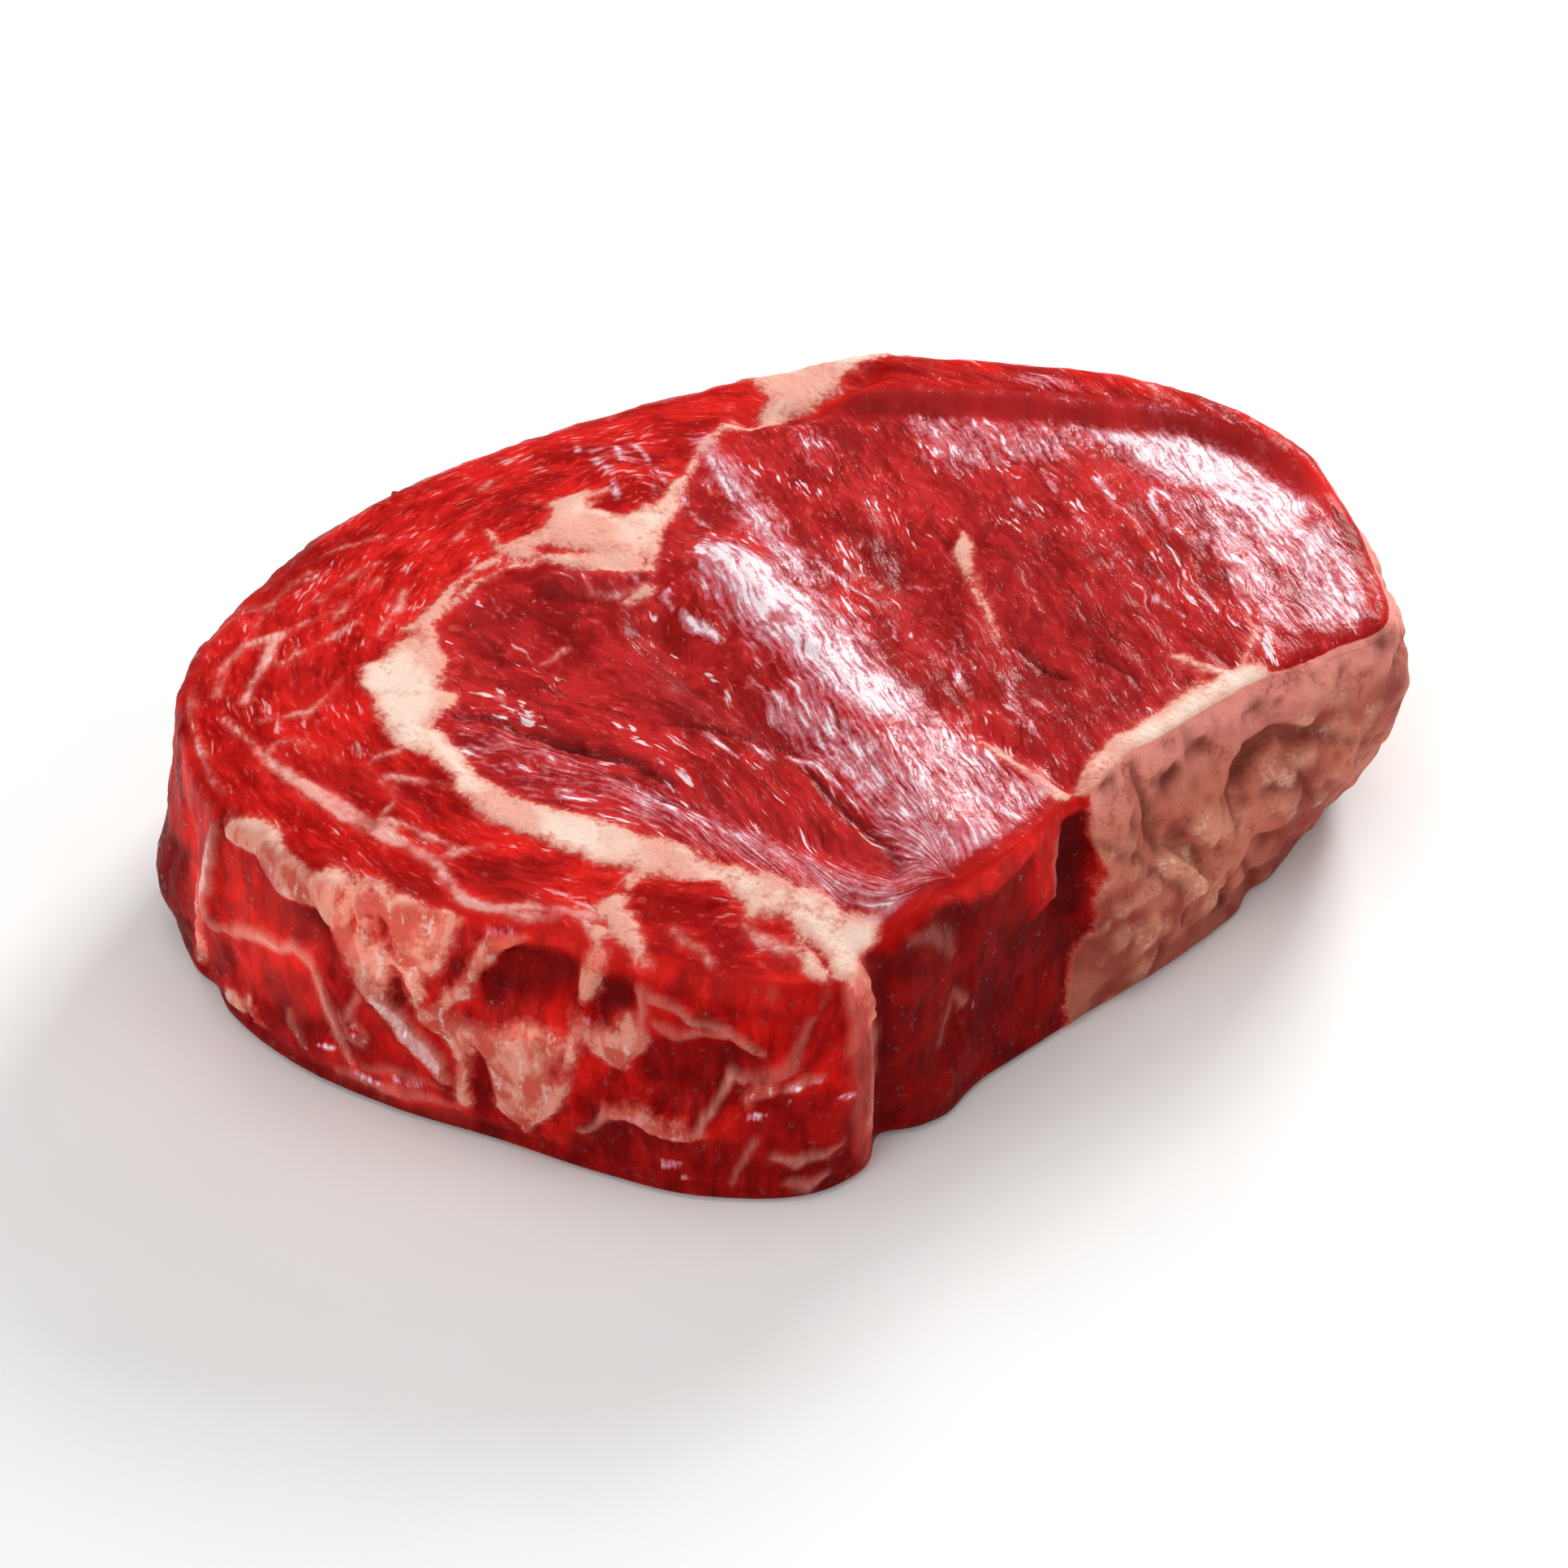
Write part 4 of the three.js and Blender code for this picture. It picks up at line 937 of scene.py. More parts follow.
CAP_SHADE = Marks((  # painted shade in the creases and hollows of the fat cap
    Stroke(((43, 26, 0.4), (45.5, 22.4, 0.6), (49, 20.8, 0.5), (51, 17.8, 0.6), (54, 14.6, 0.6),
            (57, 11, 0.4)), 0.8),
    Stroke(((50.2, 32, 0.4), (50.6, 28, 0.6), (51.6, 24, 0.7), (53, 20, 0.5)), 0.9),
    Stroke(((55, 18.8, 0.3), (57.4, 16.6, 0.8), (59, 14, 0.4))),
    Stroke(((65.4, 22.6, 0.5), (65.2, 18.6, 0.6), (66.5, 16, 0.4)), 0.8),
    Stroke(((66, 22.4, 1), (69, 25.4, 1.5), (73, 26.4, 1.2), (78, 24.5, 1), (84, 21, 0.8)), 0.85),
    Stroke(((74.8, 21, 0.4), (76.6, 17.4, 0.6), (79, 13.6, 0.4)), 0.8),
    Stroke(((68.6, 10, 0.5), (70, 7, 0.7), (72, 3.6, 0.5)), 0.9),
    Stroke(((65, 10, 0.4), (66.6, 5, 0.5)), 0.6),
    Stroke(((61, 15.6, 0.3), (64, 14.4, 0.5), (66, 12.6, 0.3)), 0.5),
    Patch(((38, -3), (110, -3), (110, 3), (80, 6), (60, 5), (40, 4)), 0.5),
    Patch(((37, 2), (47, 1), (50, 7), (47, 12), (43, 15), (37, 12)), 0.3),
    Stroke(((94, 31, 0.3), (97, 25, 0.6), (103, 20.6, 0.5), (105, 15, 0.2)), 0.8),
    Stroke(((111, 29, 0.3), (114, 23, 0.7), (112.6, 16, 0.5), (117, 11, 0.2)), 0.9),
    Stroke(((128, 23, 0.3), (133, 16, 0.8), (140, 11, 0.4)), 0.8),
    Stroke(((134, 30, 0.2), (139, 25.4, 0.6), (147, 23.4, 0.7), (154, 25, 0.3)), 0.9),
    Stroke(((151, 15, 0.3), (157, 10, 0.7), (159, 4, 0.3)), 0.8),
    Stroke(((166, 30, 0.3), (169, 23, 0.7), (176, 18, 0.6), (181, 18.6, 0.2)), 0.9),
    Stroke(((176, 12, 0.3), (181, 6.4, 0.6), (183, 2, 0.3)), 0.7),
), soft=0.7)

CAP_BRIGHT = Marks((  # pale crumbs of the fat cap
    Stroke(((53.4, 18.4, 1.2), (56, 15.5, 1.6), (58.4, 11.4, 1.5))),
    Stroke(((59, 21.6, 1.4), (61.5, 19, 2.2), (63.4, 17.6, 1.2)), 0.7),
    Stroke(((75.4, 28, 0.8), (77, 26.8, 1)), 0.9),
    Stroke(((74.4, 22.8, 0.6), (77, 21.4, 0.9)), 0.9),
    Stroke(((71, 22, 1.4), (72.6, 20.6, 1.4)), 0.5),
    Stroke(((71, 17.6, 1.2), (73.6, 16.6, 1.6)), 0.5),
    Stroke(((62, 8, 1.6), (63, 6, 1.6)), 0.4),
    Stroke(((80.5, 28.6, 0.9), (82, 27.6, 0.8)), 0.6),
    Stroke(((82, 22.6, 0.7), (84.4, 21.6, 0.8)), 0.6),
    Stroke(((46, 24.6, 1.2), (47.4, 22.8, 1)), 0.5),
    Stroke(((99, 29, 1.2), (101.6, 27.4, 1.8)), 0.6),
    Stroke(((107, 11, 1.6), (109.4, 8.6, 1.8)), 0.6),
    Stroke(((118, 27, 1.6), (122, 25.6, 2.2), (125, 26.6, 1.4)), 0.7),
    Stroke(((140, 18.6, 1.6), (144, 17, 2.2)), 0.6),
    Stroke(((160, 19, 1.6), (163.4, 15.6, 2)), 0.7),
    Stroke(((172, 27.6, 1.4), (176, 25, 2)), 0.7),
    Stroke(((122, 6.4, 1.4), (126, 5, 1.8)), 0.5),
), soft=1.2)


# -------- the steak's surface


@dataclass
class Skin:
    """Points of the surface and where each lies on the meat, all in millimetres.

    Face places are plan coordinates, drawn as if the face were level, so that a pattern runs
    unbroken over a rounded edge. Wall places are a run along the rim and a height. The inset is
    how far in from the rim a face point lies.
    """

    points: Array
    face: Array
    wall: Array
    upness: Array
    rise: Array
    inset: Array

    @staticmethod
    def joined(parts: list["Skin"]) -> "Skin":
        """One skin from several, in order."""
        names = ("points", "face", "wall", "upness", "rise", "inset")
        return Skin(*(np.concatenate([getattr(part, name) for part in parts]) for name in names))

    def from_seam(self) -> Array:
        """How far each place lies from where the runs meet at the back, in millimetres."""
        return self.wall[:, 0].max() - np.abs(self.wall[:, 0])


@dataclass(frozen=True)
class Grain:
    """The lie of the muscle fibres on the cut face, in millimetres.

    Left of the split line the fibres run together at a focus near the front corner, so the grain
    is polar there. Right of it they are parallel. In the cap muscle they follow the rim.
    """

    focus: Point = (20.0, -42.0)
    split: tuple[Point, ...] = ((-8, 50), (-8, 35), (1, 15), (10, -10), (20, -42))
    right: Point = (0.37, -0.93)
    split_angle: float = 0.31
    split_across: float = 5.6
    polar_reach: float = 45.0
    polar_near: float = 0.45  # share of the reach that is left at the focus
    polar_span: Point = (4.0, 42.0)
    polar_along: float = 46.5
    heart: Point = (-12.0, 0.0)
    heart_reach: float = 45.0
    apart: float = 300.0

    def coordinates(self, x: Array, y: Array, eye: Array) -> Array:
        """Along and across the fibres.

        Args:
            x: plan coordinates.
            y: plan coordinates.
            eye: 1 in the eye, 0 in the cap muscle.

        Returns:
            Two columns, along and across. The cap muscle's are set far off, so that the two
            muscles' noise doesn't match.
        """
        dx, dy = x - self.focus[0], y - self.focus[1]
        angle, radius = np.arctan2(-dx, dy), np.hypot(dx, dy)
        widened = self.polar_near + (1 - self.polar_near) * ease(*self.polar_span, radius)
        across = self.split_across - (angle - self.split_angle) * (self.polar_reach * widened)
        polar = np.stack([self.polar_along - radius, across])
        rx, ry = self.right
        straight = np.stack([x * rx + y * ry, -x * ry + y * rx])
        left_of_split = nearest(x, y, self.split)[2]
        eye_grain = np.where(left_of_split, straight, polar)
        hx, hy = x - self.heart[0], y - self.heart[1]
        around = np.stack([np.arctan2(-hy, -hx) * self.heart_reach, np.hypot(hx, hy) + self.apart])
        return np.where(eye > 0.5, eye_grain, around).T


@dataclass(frozen=True)
class FaceDetail:
    """Fine relief of the cut face, in millimetres: furrows along the grain, deeper where the meat
    is wet and bunched, soft lumps, fat that stands a little proud, and creases.

    A pair named as a span is where a blend starts and where it ends.
    """

    furrow: Ripple = Ripple((1.8, 9.0), 1.0, 11)
    furrow_level: float = 0.35
    furrow_depth: float = 0.16
    wet_depth: float = 0.18
    wet_span: Point = (36.0, 22.0)
    bundle: Ripple = Ripple((4.5, 16.0), 1.0, 23)
    bundle_height: float = 0.25
    eye_height: float = 0.15
    broad_lump: Ripple = Ripple((9.0, 9.0), 0.30, 31)
    small_lump: Ripple = Ripple((2.2, 2.2), 0.16, 37)
    fat_span: Point = (-0.5, 0.9)
    fat_height: float = 0.30
    fat_lump: Ripple = Ripple((2.6, 2.6), 0.28, 41)
    fat_calm: float = 0.8
    streak_span: Point = (-0.4, 0.3)
    streak_height: float = 0.14
    kernel_roll: Welt = Welt(Stroke(((-28.5, 11.6, 2.3), (-17.5, 11.2, 2.2))), 2.2, 1.2)
    seam_island: Welt = Welt(Stroke(((-15, -42.6, 1.5), (-7, -42.3, 1.7))), 1.6, 0.8)
    crumb_place: Stroke = Stroke(((-24, 41, 3), (-20, 35, 5), (-19, 29, 4)))
    crumb_soft: float = 2.0
    crumb: Ripple = Ripple((2.4, 2.4), 0.7, 43)
    crease_depth: float = 0.5

    def heights(self, skin: Skin, tissue: dict[str, Array]) -> Array:
        """The relief at every point: ripples along the grain and in plan, blended by the tissue.

        Args:
            skin: the surface.
            tissue: the tissue values at its points.

        Returns:
            How far each point stands out.
        """
        x, y = skin.face.T
        along, across = tissue["grain"].T[:2]
        in_fat = ease(*self.fat_span, tissue["fat"])
        wet = self.wet_depth * tissue["sheen"] * ease(*self.wet_span, x)
        furrow = self.furrow_level - np.abs(self.furrow.at_points(across, along))
        bunched = self.bundle_height + self.eye_height * tissue["eye"]
        furrows = furrow * (self.furrow_depth + wet) + self.bundle.at_points(across, along) * bunched
        lumps = self.broad_lump.at_points(x, y) + self.small_lump.at_points(x, y)
        proud = in_fat * (self.fat_height + self.fat_lump.at_points(x, y))
        proud += self.streak_height * ease(*self.streak_span, tissue["streak"])
        rolls = self.kernel_roll.at_points(x, y) + self.seam_island.at_points(x, y)
        crumbly = ease(-self.crumb_soft, self.crumb_soft, self.crumb_place.depth(x, y))
        crumbs = crumbly * self.crumb.at_points(x, y)
        gaps = self.crease_depth * tissue["crease"]
        return furrows * (1 - self.fat_calm * in_fat) + lumps + proud + rolls + crumbs - gaps


@dataclass(frozen=True)
class WallDetail:
    """Fine relief of the wall, in millimetres: upright furrows in the lean, raised fat and
    membranes, sunk dark places, and the lumps and creases of the fat cap."""

    upright: Ripple = Ripple((1.9, 10.0), 0.3, 53)
    broad_lump: Ripple = Ripple((6.0, 6.0), 0.45, 59)
    small_lump: Ripple = Ripple((1.8, 1.8), 0.14, 61)
    shade_depth: float = 0.9
    fat_span: Point = (-0.5, 0.9)
    fat_height: float = 0.8
    fat_lump: Ripple = Ripple((2.4, 2.4), 0.4, 67)
    film_height: float = 0.7
    coarse_knob: Ripple = Ripple((5.5, 5.0), 0.65, 71, 2)
    fine_knob: Ripple = Ripple((2.4, 2.2), 0.6, 73, 2)
    rear_calm: float = 0.2
    rear_span: Point = (74.0, 100.0)
    cap_lump: Ripple = Ripple((9.0, 7.0), 0.5, 79, 2)
    cap_crease: float = 0.6
    cap_gleam: float = 0.3
    cap_soft: float = 0.8
    finger: Welt = Welt(Stroke(((53.2, 18.6, 0.9), (55.5, 15.8, 1.3), (58.6, 11.4, 1.3))), 1.3, 2.1)
    seam_width: float = 6.0

    def knobs(self, run: Array, z: Array) -> Array:
        """The fat cap's knobs: a coarse and a fine ripple, a little fainter round the back.

        Args:
            run: runs along the rim.
            z: heights.

        Returns:
            The knobs, from -1 in the valleys to 1 on the crests.
        """
        knobs = self.coarse_knob.at_points(run, z) + self.fine_knob.at_points(run, z)
        return knobs * (1 - self.rear_calm * ease(*self.rear_span, run))

    def heights(self, skin: Skin, tissue: dict[str, Array]) -> Array:
        """The relief at every point: lean and fat cap, blended by the depth in the cap, and calm
        where the runs meet.

        Args:
            skin: the surface.
            tissue: the tissue values at its points.

        Returns:
            How far each point stands out.
        """
        run, z = skin.wall.T
        cap = ease(-self.cap_soft, self.cap_soft, tissue["cap"])
        lumps = self.broad_lump.at_points(run, z) + self.small_lump.at_points(run, z)
        lean = self.upright.at_points(run, z) + lumps - self.shade_depth * tissue["shade"]
        proud = self.fat_height + self.fat_lump.at_points(run, z)
        raised = ease(*self.fat_span, tissue["fat"]) * proud + self.film_height * tissue["film"]
        fatty = self.knobs(run, z) + self.cap_lump.at_points(run, z) + self.finger.at_points(run, z)
        fatty += self.cap_gleam * tissue["gleam"] - self.cap_crease * tissue["crease"]
        return ((lean + raised) * (1 - cap) + fatty * cap) * ease(0.0, self.seam_width, skin.from_seam())


@dataclass(frozen=True)
class Tissues:
    """What the meat is at every point, read from the marks.

    A span is where a blend starts and where it ends, in millimetres or as a share. The clear
    fields are depths that stand for none at all.
    """

    face_wander: Wander = Wander(0.45, 2.6, 83)
    wall_wander: Wander = Wander(0.8, 3.4, 89)
    eye_soft: float = 1.3
    cap_soft: float = 1.0
    inset_span: Point = (0.2, 2.2)  # where the sheen starts inside the rim
    sheen_dimmed: float = 1.3  # by shade
    focus_reach: float = 9.0
    focus_calm: float = 0.2
    lip_reach: float = 2.0
    lip_calm: float = 0.7
    lip_dull: float = 0.8
    turn_span: Point = (0.26, 0.36)  # how far from half way over the edge the grain holds
    border_span: Point = (0.3, 0.45)  # the same, from half way between the two muscles
    seam_span: Point = (0.8, 2.5)
    cap_fat_depth: float = 3.0
    clear: float = -3.0
    clear_streak: float = -2.0
    valley_span: Point = (-0.1, -0.8)
    valley_outside: float = 0.35  # share of the valleys' dark outside the fat cap
    crest_span: Point = (0.2, 0.8)
    # painted light on the crests of the knobs, as a share
    crest_bright: float = 0.5

    def at_points(self, skin: Skin, form: Form, grain: Grain, detail: WallDetail) -> dict[str, Array]:
        """The tissue values: depths in the marks, and their strengths over soft edges.

        Args:
            skin: the surface.
            form: the large form, for the edge of the lip.
            grain: the lie of the fibres.
            detail: the relief of the wall, for the knobs of the fat cap.

        Returns:
            Named values: fat, streak and cap are depths in millimetres; eye, sheen, shade, the
            painted light, steady, film, crease, gleam and up are shares from 0 to 1; grain is along,
            across, 0. Sheen is painted sheen on wet places; shade is painted shade and darker lean;
            crease is sunk and carries painted shade; gleam is pale crumbs with painted light on the
            knobs' crests.
            Steady is 0 where two grains meet, so that their patterns fade there.
        """
        x, y = self.face_wander.moved(*skin.face.T)
        run, z = self.wall_wander.moved(*skin.wall.T)
        up = skin.upness
        face, wall = up > 0.0, up < 1.0

        def both(on_face: Field | None, on_wall: Field | None, empty: float = 0.0) -> Array:
            """A value worked out on the face and on the wall, and blended where they meet.

            Args:
                on_face: the value at plan places, or None.
                on_wall: the value at wall places, or None.
                empty: the value where it is None.

            Returns:
                The value at every point.
            """
            a, b = np.full(len(up), empty), np.full(len(up), empty)
            if on_face is not None:
                a[face] = on_face(x[face], y[face])
            if on_wall is not None:
                b[wall] = on_wall(run[wall], z[wall])
            return a * up + b * (1 - up)

        def face_dark(p: Array, q: Array) -> Array:
            """Painted shade and darker lean of the face, or its broad painted shade if that is stronger."""
            return np.maximum(FACE_SHADE.strength(p, q), sum(mark.at_points(p, q) for mark in FACE_GLOOM))

        def face_wet(p: Array, q: Array) -> Array:
            """Wet places of the face with painted sheen, and the painted glints on them."""
            return np.maximum(FACE_SHEEN.strength(p, q), FACE_GLINTS.strength(p, q))

        def face_fat(p: Array, q: Array) -> Array:
            """Fat of the face, less the red islands in it."""
            return np.minimum(FACE_FAT.depth(p, q), -FACE_LEAN.depth(p, q))

        def wall_fat(p: Array, q: Array) -> Array:
            """Fat of the wall, less the red threads in it, and the fat cap."""
            inner = np.minimum(WALL_FAT.depth(p, q), -WALL_LEAN.depth(p, q))
            return np.maximum(inner, np.minimum(CAP_WALL.depth(p, q), self.cap_fat_depth))

        def wall_creases(p: Array, q: Array) -> Array:
            """Creases of the fat cap and the valleys between its knobs, fainter outside it; shade is
            painted into them.
            """
            inside = ease(-self.cap_soft, self.cap_soft, CAP_WALL.depth(p, q))
            return np.maximum(CAP_SHADE.strength(p, q), ease(*self.valley_span, detail.knobs(p, q)) * (
                self.valley_outside + (1 - self.valley_outside) * inside
            ))

        def wall_gleam(p: Array, q: Array) -> Array:
            """Pale crumbs of the fat cap, and painted light on the crests of its knobs."""
            crests = self.crest_bright * ease(*self.crest_span, detail.knobs(p, q))
            return np.maximum(CAP_BRIGHT.strength(p, q), crests)

        eye = both(lambda p, q: ease(-self.eye_soft, self.eye_soft, EYE.depth(p, q)), None)
        upright = skin.wall[:, ::-1] - (0.0, 2 * grain.apart)
        fibres = np.where((up > 0.5)[:, None], grain.coordinates(*skin.face.T, eye), upright)
        dark = both(face_dark, WALL_SHADE.strength)
        sheen = both(face_wet, None) * (1 - np.minimum(self.sheen_dimmed * dark, 1.0))
        sheen *= ease(*self.inset_span, skin.inset)
        lip = bell(nearest(*skin.points[:, :2].T, form.lip_edge)[0] / self.lip_reach) * up
        at_focus = bell(np.hypot(x - grain.focus[0], y - grain.focus[1]) / self.focus_reach)
        steady = ease(*self.turn_span, np.abs(up - 0.5)) * ease(*self.border_span, np.abs(eye - 0.5))
        steady *= np.maximum(ease(*self.seam_span, skin.from_seam()), up)
        steady *= (1 - self.focus_calm * at_focus) * (1 - self.lip_calm * lip)
        return {
            "fat": both(face_fat, wall_fat, self.clear),
            "streak": both(FACE_STREAKS.depth, None, self.clear_streak),
            "cap": both(None, CAP_WALL.depth, self.clear),
            "eye": eye,
            "sheen": sheen * (1 - self.lip_dull * lip) + both(None, WALL_GLINTS.strength),
            "shade": dark,
            "painted_light": both(None, WALL_PAINTED_LIGHT.strength),
            "steady": steady,
            "film": both(None, WALL_FILM.strength),
            "crease": both(FACE_CREASES.strength, wall_creases),
            "gleam": both(None, wall_gleam),
            "up": up,
            "grain": np.column_stack([fibres, run * 0]),
        }


@dataclass
class Ribeye:
    """The steak: one closed surface with its fine relief and the tissue at every point.

    Its upper and lower faces are square grids of rings about the heart, and its wall is a band of
    rows between them, with eight columns for each ring.
    """

    form: Form = field(default_factory=Form)
    grain: Grain = field(default_factory=Grain)
    tissues: Tissues = field(default_factory=Tissues)
    face_detail: FaceDetail = field(default_factory=FaceDetail)
    wall_detail: WallDetail = field(default_factory=WallDetail)
    half_rings: int = 105
    edge_rows: int = 8
    wall_rows: int = 43
    foot_rows: int = 3
    base_half_rings: int = 35
    base_share: float = 0.985
    base_shift: float = 2.0  # moves the lower face's pattern off the upper one's
    base_inset: float = 9.0  # stands for well inside the rim
    turn_span: Point = (0.2, 0.75)  # share of the rounded edge over which face gives way to wall
    view_slant: float = 1.11  # plan shift for each millimetre of height, as the cut face is drawn
    wall_slant: float = 0.9  # height shift for each millimetre of inset over a rounded edge
    rise_span: Point = (0.2, 3.0)  # height over which the fine relief starts above the floor

    def grid_steps(self, half: int) -> tuple[Array, Array]:
        """The square grid of a face: which ring each point is on, and its place round it.

        Args:
            half: rings from the heart to the rim.

        Returns:
            The ring and the share of the way round, one value for each grid point.
        """
        i, j = np.meshgrid(np.arange(-half, half + 1), np.arange(-half, half + 1), indexing="ij")
        ring = np.maximum(np.abs(i), np.abs(j))
        step = np.select(
            [j == -ring, i == ring, j == ring], [i + ring, 3 * ring + j, 5 * ring - i], 7 * ring - j
        )
        share = step / np.maximum(8 * ring, 1)
        return ring.ravel(), (share % 1.0).ravel()

    def from_heart(self, outline: Array, share: Array) -> tuple[Array, Array]:
        """Plan places at shares of the way from the heart to an outline."""
        heart = self.form.heart
        return (
            heart[0] + (outline[:, 0] - heart[0]) * share,
            heart[1] + (outline[:, 1] - heart[1]) * share,
        )

    def face_skin(self) -> Skin:
        """The upper cut face: heart + share x (rim - heart) in plan, with the face relief and
        the fall towards the rim as its height.

        Returns:
            The skin of the face, rim included.
        """
        form = self.form
        ring, u = self.grid_steps(self.half_rings)
        column = form.columns(u)
        rim = form.wall_points(column, column["top"], column["edge"])
        share = ring / self.half_rings
        x, y = self.from_heart(rim, share)
        z = form.thickness + form.face_relief(x, y) - column["drop"] * share**form.sag_power
        height = z - self.wall_slant * column["edge"]
        return Skin(
            np.column_stack([x, y, z]),
            np.column_stack([x, y + (form.thickness - z) * self.view_slant]),
            np.column_stack([column["run"], height]),
            np.ones(len(x)),
            z,
            (1 - share) * np.hypot(rim[:, 0] - form.heart[0], rim[:, 1] - form.heart[1]),
        )

    def wall_skin(self) -> Skin:
        """The rows from the rounded upper edge to the lower face, without the first: quarter
        circles at the top and the foot, and even steps between.

        Returns:
            The skin of the wall, row by row from the top.
        """
        form, radius = self.form, self.form.foot_radius
        column = form.columns(np.arange(8 * self.half_rings) / (8 * self.half_rings))
        edge, top = column["edge"], column["top"]
        rows = []
        for k in range(1, self.edge_rows + 1):
            turn = k / self.edge_rows * math.pi / 2
            upness = 1.0 - float(ease(*self.turn_span, np.array(k / self.edge_rows)))
            rows.append((top - edge * (1 - math.cos(turn)), edge * (1 - math.sin(turn)), upness))
        for k in range(1, self.wall_rows + 1):
            q = k / self.wall_rows
            rows.append(((top - edge) * (1 - q) + radius * q, edge * 0, 0.0))
        for k in range(1, self.foot_rows + 1):
            turn = k / self.foot_rows * math.pi / 2
            low, inset = radius * (1 - math.sin(turn)), radius * (1 - math.cos(turn))
            rows.append((edge * 0 + low, edge * 0 + inset, 0.0))
        parts = []
        for z, inset, upness in rows:
            points = form.wall_points(column, z, inset)
            drawn = points[:, 1] + (form.thickness - z) * self.view_slant
            slanted = z - self.wall_slant * inset * (z > radius)
            parts.append(Skin(
                points,
                np.column_stack([points[:, 0], drawn]),
                np.column_stack([column["run"], slanted]),
                np.full(len(z), upness),
                z,
                z * 0,
            ))
        return Skin.joined(parts)

    def base_skin(self) -> Skin:
        """The flat lower cut face: the same rings, scaled to just inside the foot's outline.

        Returns:
            The skin of the lower face.
        """
        form = self.form
        ring, u = self.grid_steps(self.base_half_rings)
        column = form.columns(u)
        foot = form.wall_points(column, column["top"] * 0, column["top"] * 0 + form.foot_radius)
        x, y = self.from_heart(foot, ring / self.base_half_rings * self.base_share)
        return Skin(
            np.column_stack([x, y, x * 0]),
            np.column_stack([x, y + self.base_shift]),
            np.column_stack([column["run"], x * 0]),
            np.ones(len(x)),
            x * 0,
            x * 0 + self.base_inset,
        )

    def faces(self) -> Array:
        """Quads as rows of four point numbers; a triangle repeats its last number.

        Returns:
            The rows: the upper face, the wall, the strip to the lower face, the lower face.
        """
        half, low = self.half_rings, self.base_half_rings
        columns = 8 * half
        side, low_side = 2 * half + 1, 2 * low + 1
        rows = self.edge_rows + self.wall_rows + self.foot_rows

        def grid_quads(count: int, first: int, upward: bool) -> Array:
            """All the quads of a square grid of points.

            Args:
                count: points along a side.
                first: the number of the first point.
                upward: whether the quads face up.

            Returns:
                The quads, one row each.
            """
            i, j = np.meshgrid(np.arange(count - 1), np.arange(count - 1), indexing="ij")
            a = (i * count + j).ravel() + first
            quads = np.column_stack([a, a + count, a + count + 1, a + 1])
            return quads if upward else quads[:, ::-1]

        def outer_ring(count: int, first: int) -> Array:
            """The numbers of a grid's outer points, in their order round the rim.

            Args:
                count: points along a side.
                first: the number of the first point.

            Returns:
                The numbers.
            """
            k = np.arange(count - 1)
            last = count - 1
            i = np.concatenate([k, k * 0 + last, last - k, k * 0])
            j = np.concatenate([k * 0, k, k * 0 + last, last - k])
            return first + i * count + j

        wall_first = side * side
        base_first = wall_first + rows * columns
        ring = outer_ring(side, 0)
        wall = wall_first + np.arange(rows * columns).reshape(rows, columns)
        lines = np.vstack([ring[None, :], wall])
        after = np.roll(lines, -1, axis=1)
        sides = np.stack([lines[1:], after[1:], after[:-1], lines[:-1]], axis=-1).reshape(-1, 4)
        inner = outer_ring(low_side, base_first)
        following = np.roll(inner, -1)
        step = columns // len(inner)
        outer = lines[-1].reshape(len(inner), step)
        ends = np.column_stack([outer, np.roll(outer[:, 0], -1)])
        strip = []
        for k in range(step):
            near = inner if k < (step + 1) // 2 else following
            strip.append(np.column_stack([ends[:, k], near, ends[:, k + 1], ends[:, k + 1]]))
        middle = (step + 1) // 2
        strip.append(np.column_stack([inner, following, ends[:, middle], ends[:, middle]]))
        return np.vstack([
            grid_quads(side, 0, True), sides, *strip, grid_quads(low_side, base_first, False),
        ])

    def normals(self, points: Array, quads: Array) -> Array:
        """Unit normals at the points: the sum of the normals of the faces round each.

        Args:
            points: the points, one row each.
            quads: the faces, as rows of point numbers.

        Returns:
            The normals, one row each.
        """
        a, b, c, d = (points[quads[:, k]] for k in range(4))
        flat = np.cross(c - a, d - b)
        triangle = quads[:, 2] == quads[:, 3]
        flat[triangle] = np.cross((b - a)[triangle], (c - a)[triangle])
        total = np.zeros_like(points)
        for k in range(4):
            for axis in range(3):
                total[:, axis] += np.bincount(quads[:, k], flat[:, axis], len(points))
        return total / np.maximum(np.linalg.norm(total, axis=1, keepdims=True), 1e-12)

    def surface(self) -> tuple[Array, Array, dict[str, Array]]:
        """The finished surface: the large form, moved along its normals by the fine relief.

        Returns:
            The points in metres, the faces, and the tissue values.
        """
        skin = Skin.joined([self.face_skin(), self.wall_skin(), self.base_skin()])
        quads = self.faces()
        tissue = self.tissues.at_points(skin, self.form, self.grain, self.wall_detail)
        detail = self.face_detail.heights(skin, tissue) * skin.upness
        detail += self.wall_detail.heights(skin, tissue) * (1 - skin.upness)
        detail *= ease(*self.rise_span, skin.rise)
        points = skin.points + self.normals(skin.points, quads) * detail[:, None]
        points[:, 2] = np.maximum(points[:, 2], 0.0)
        return (points - self.middle()) * MM, quads, tissue

    def middle(self) -> Array:
        """The middle of the large form in plan, which the CAD solid has at its origin."""
        plan = self.wall_skin().points[:, :2]
        return np.array([*((plan.min(axis=0) + plan.max(axis=0)) / 2), 0.0])

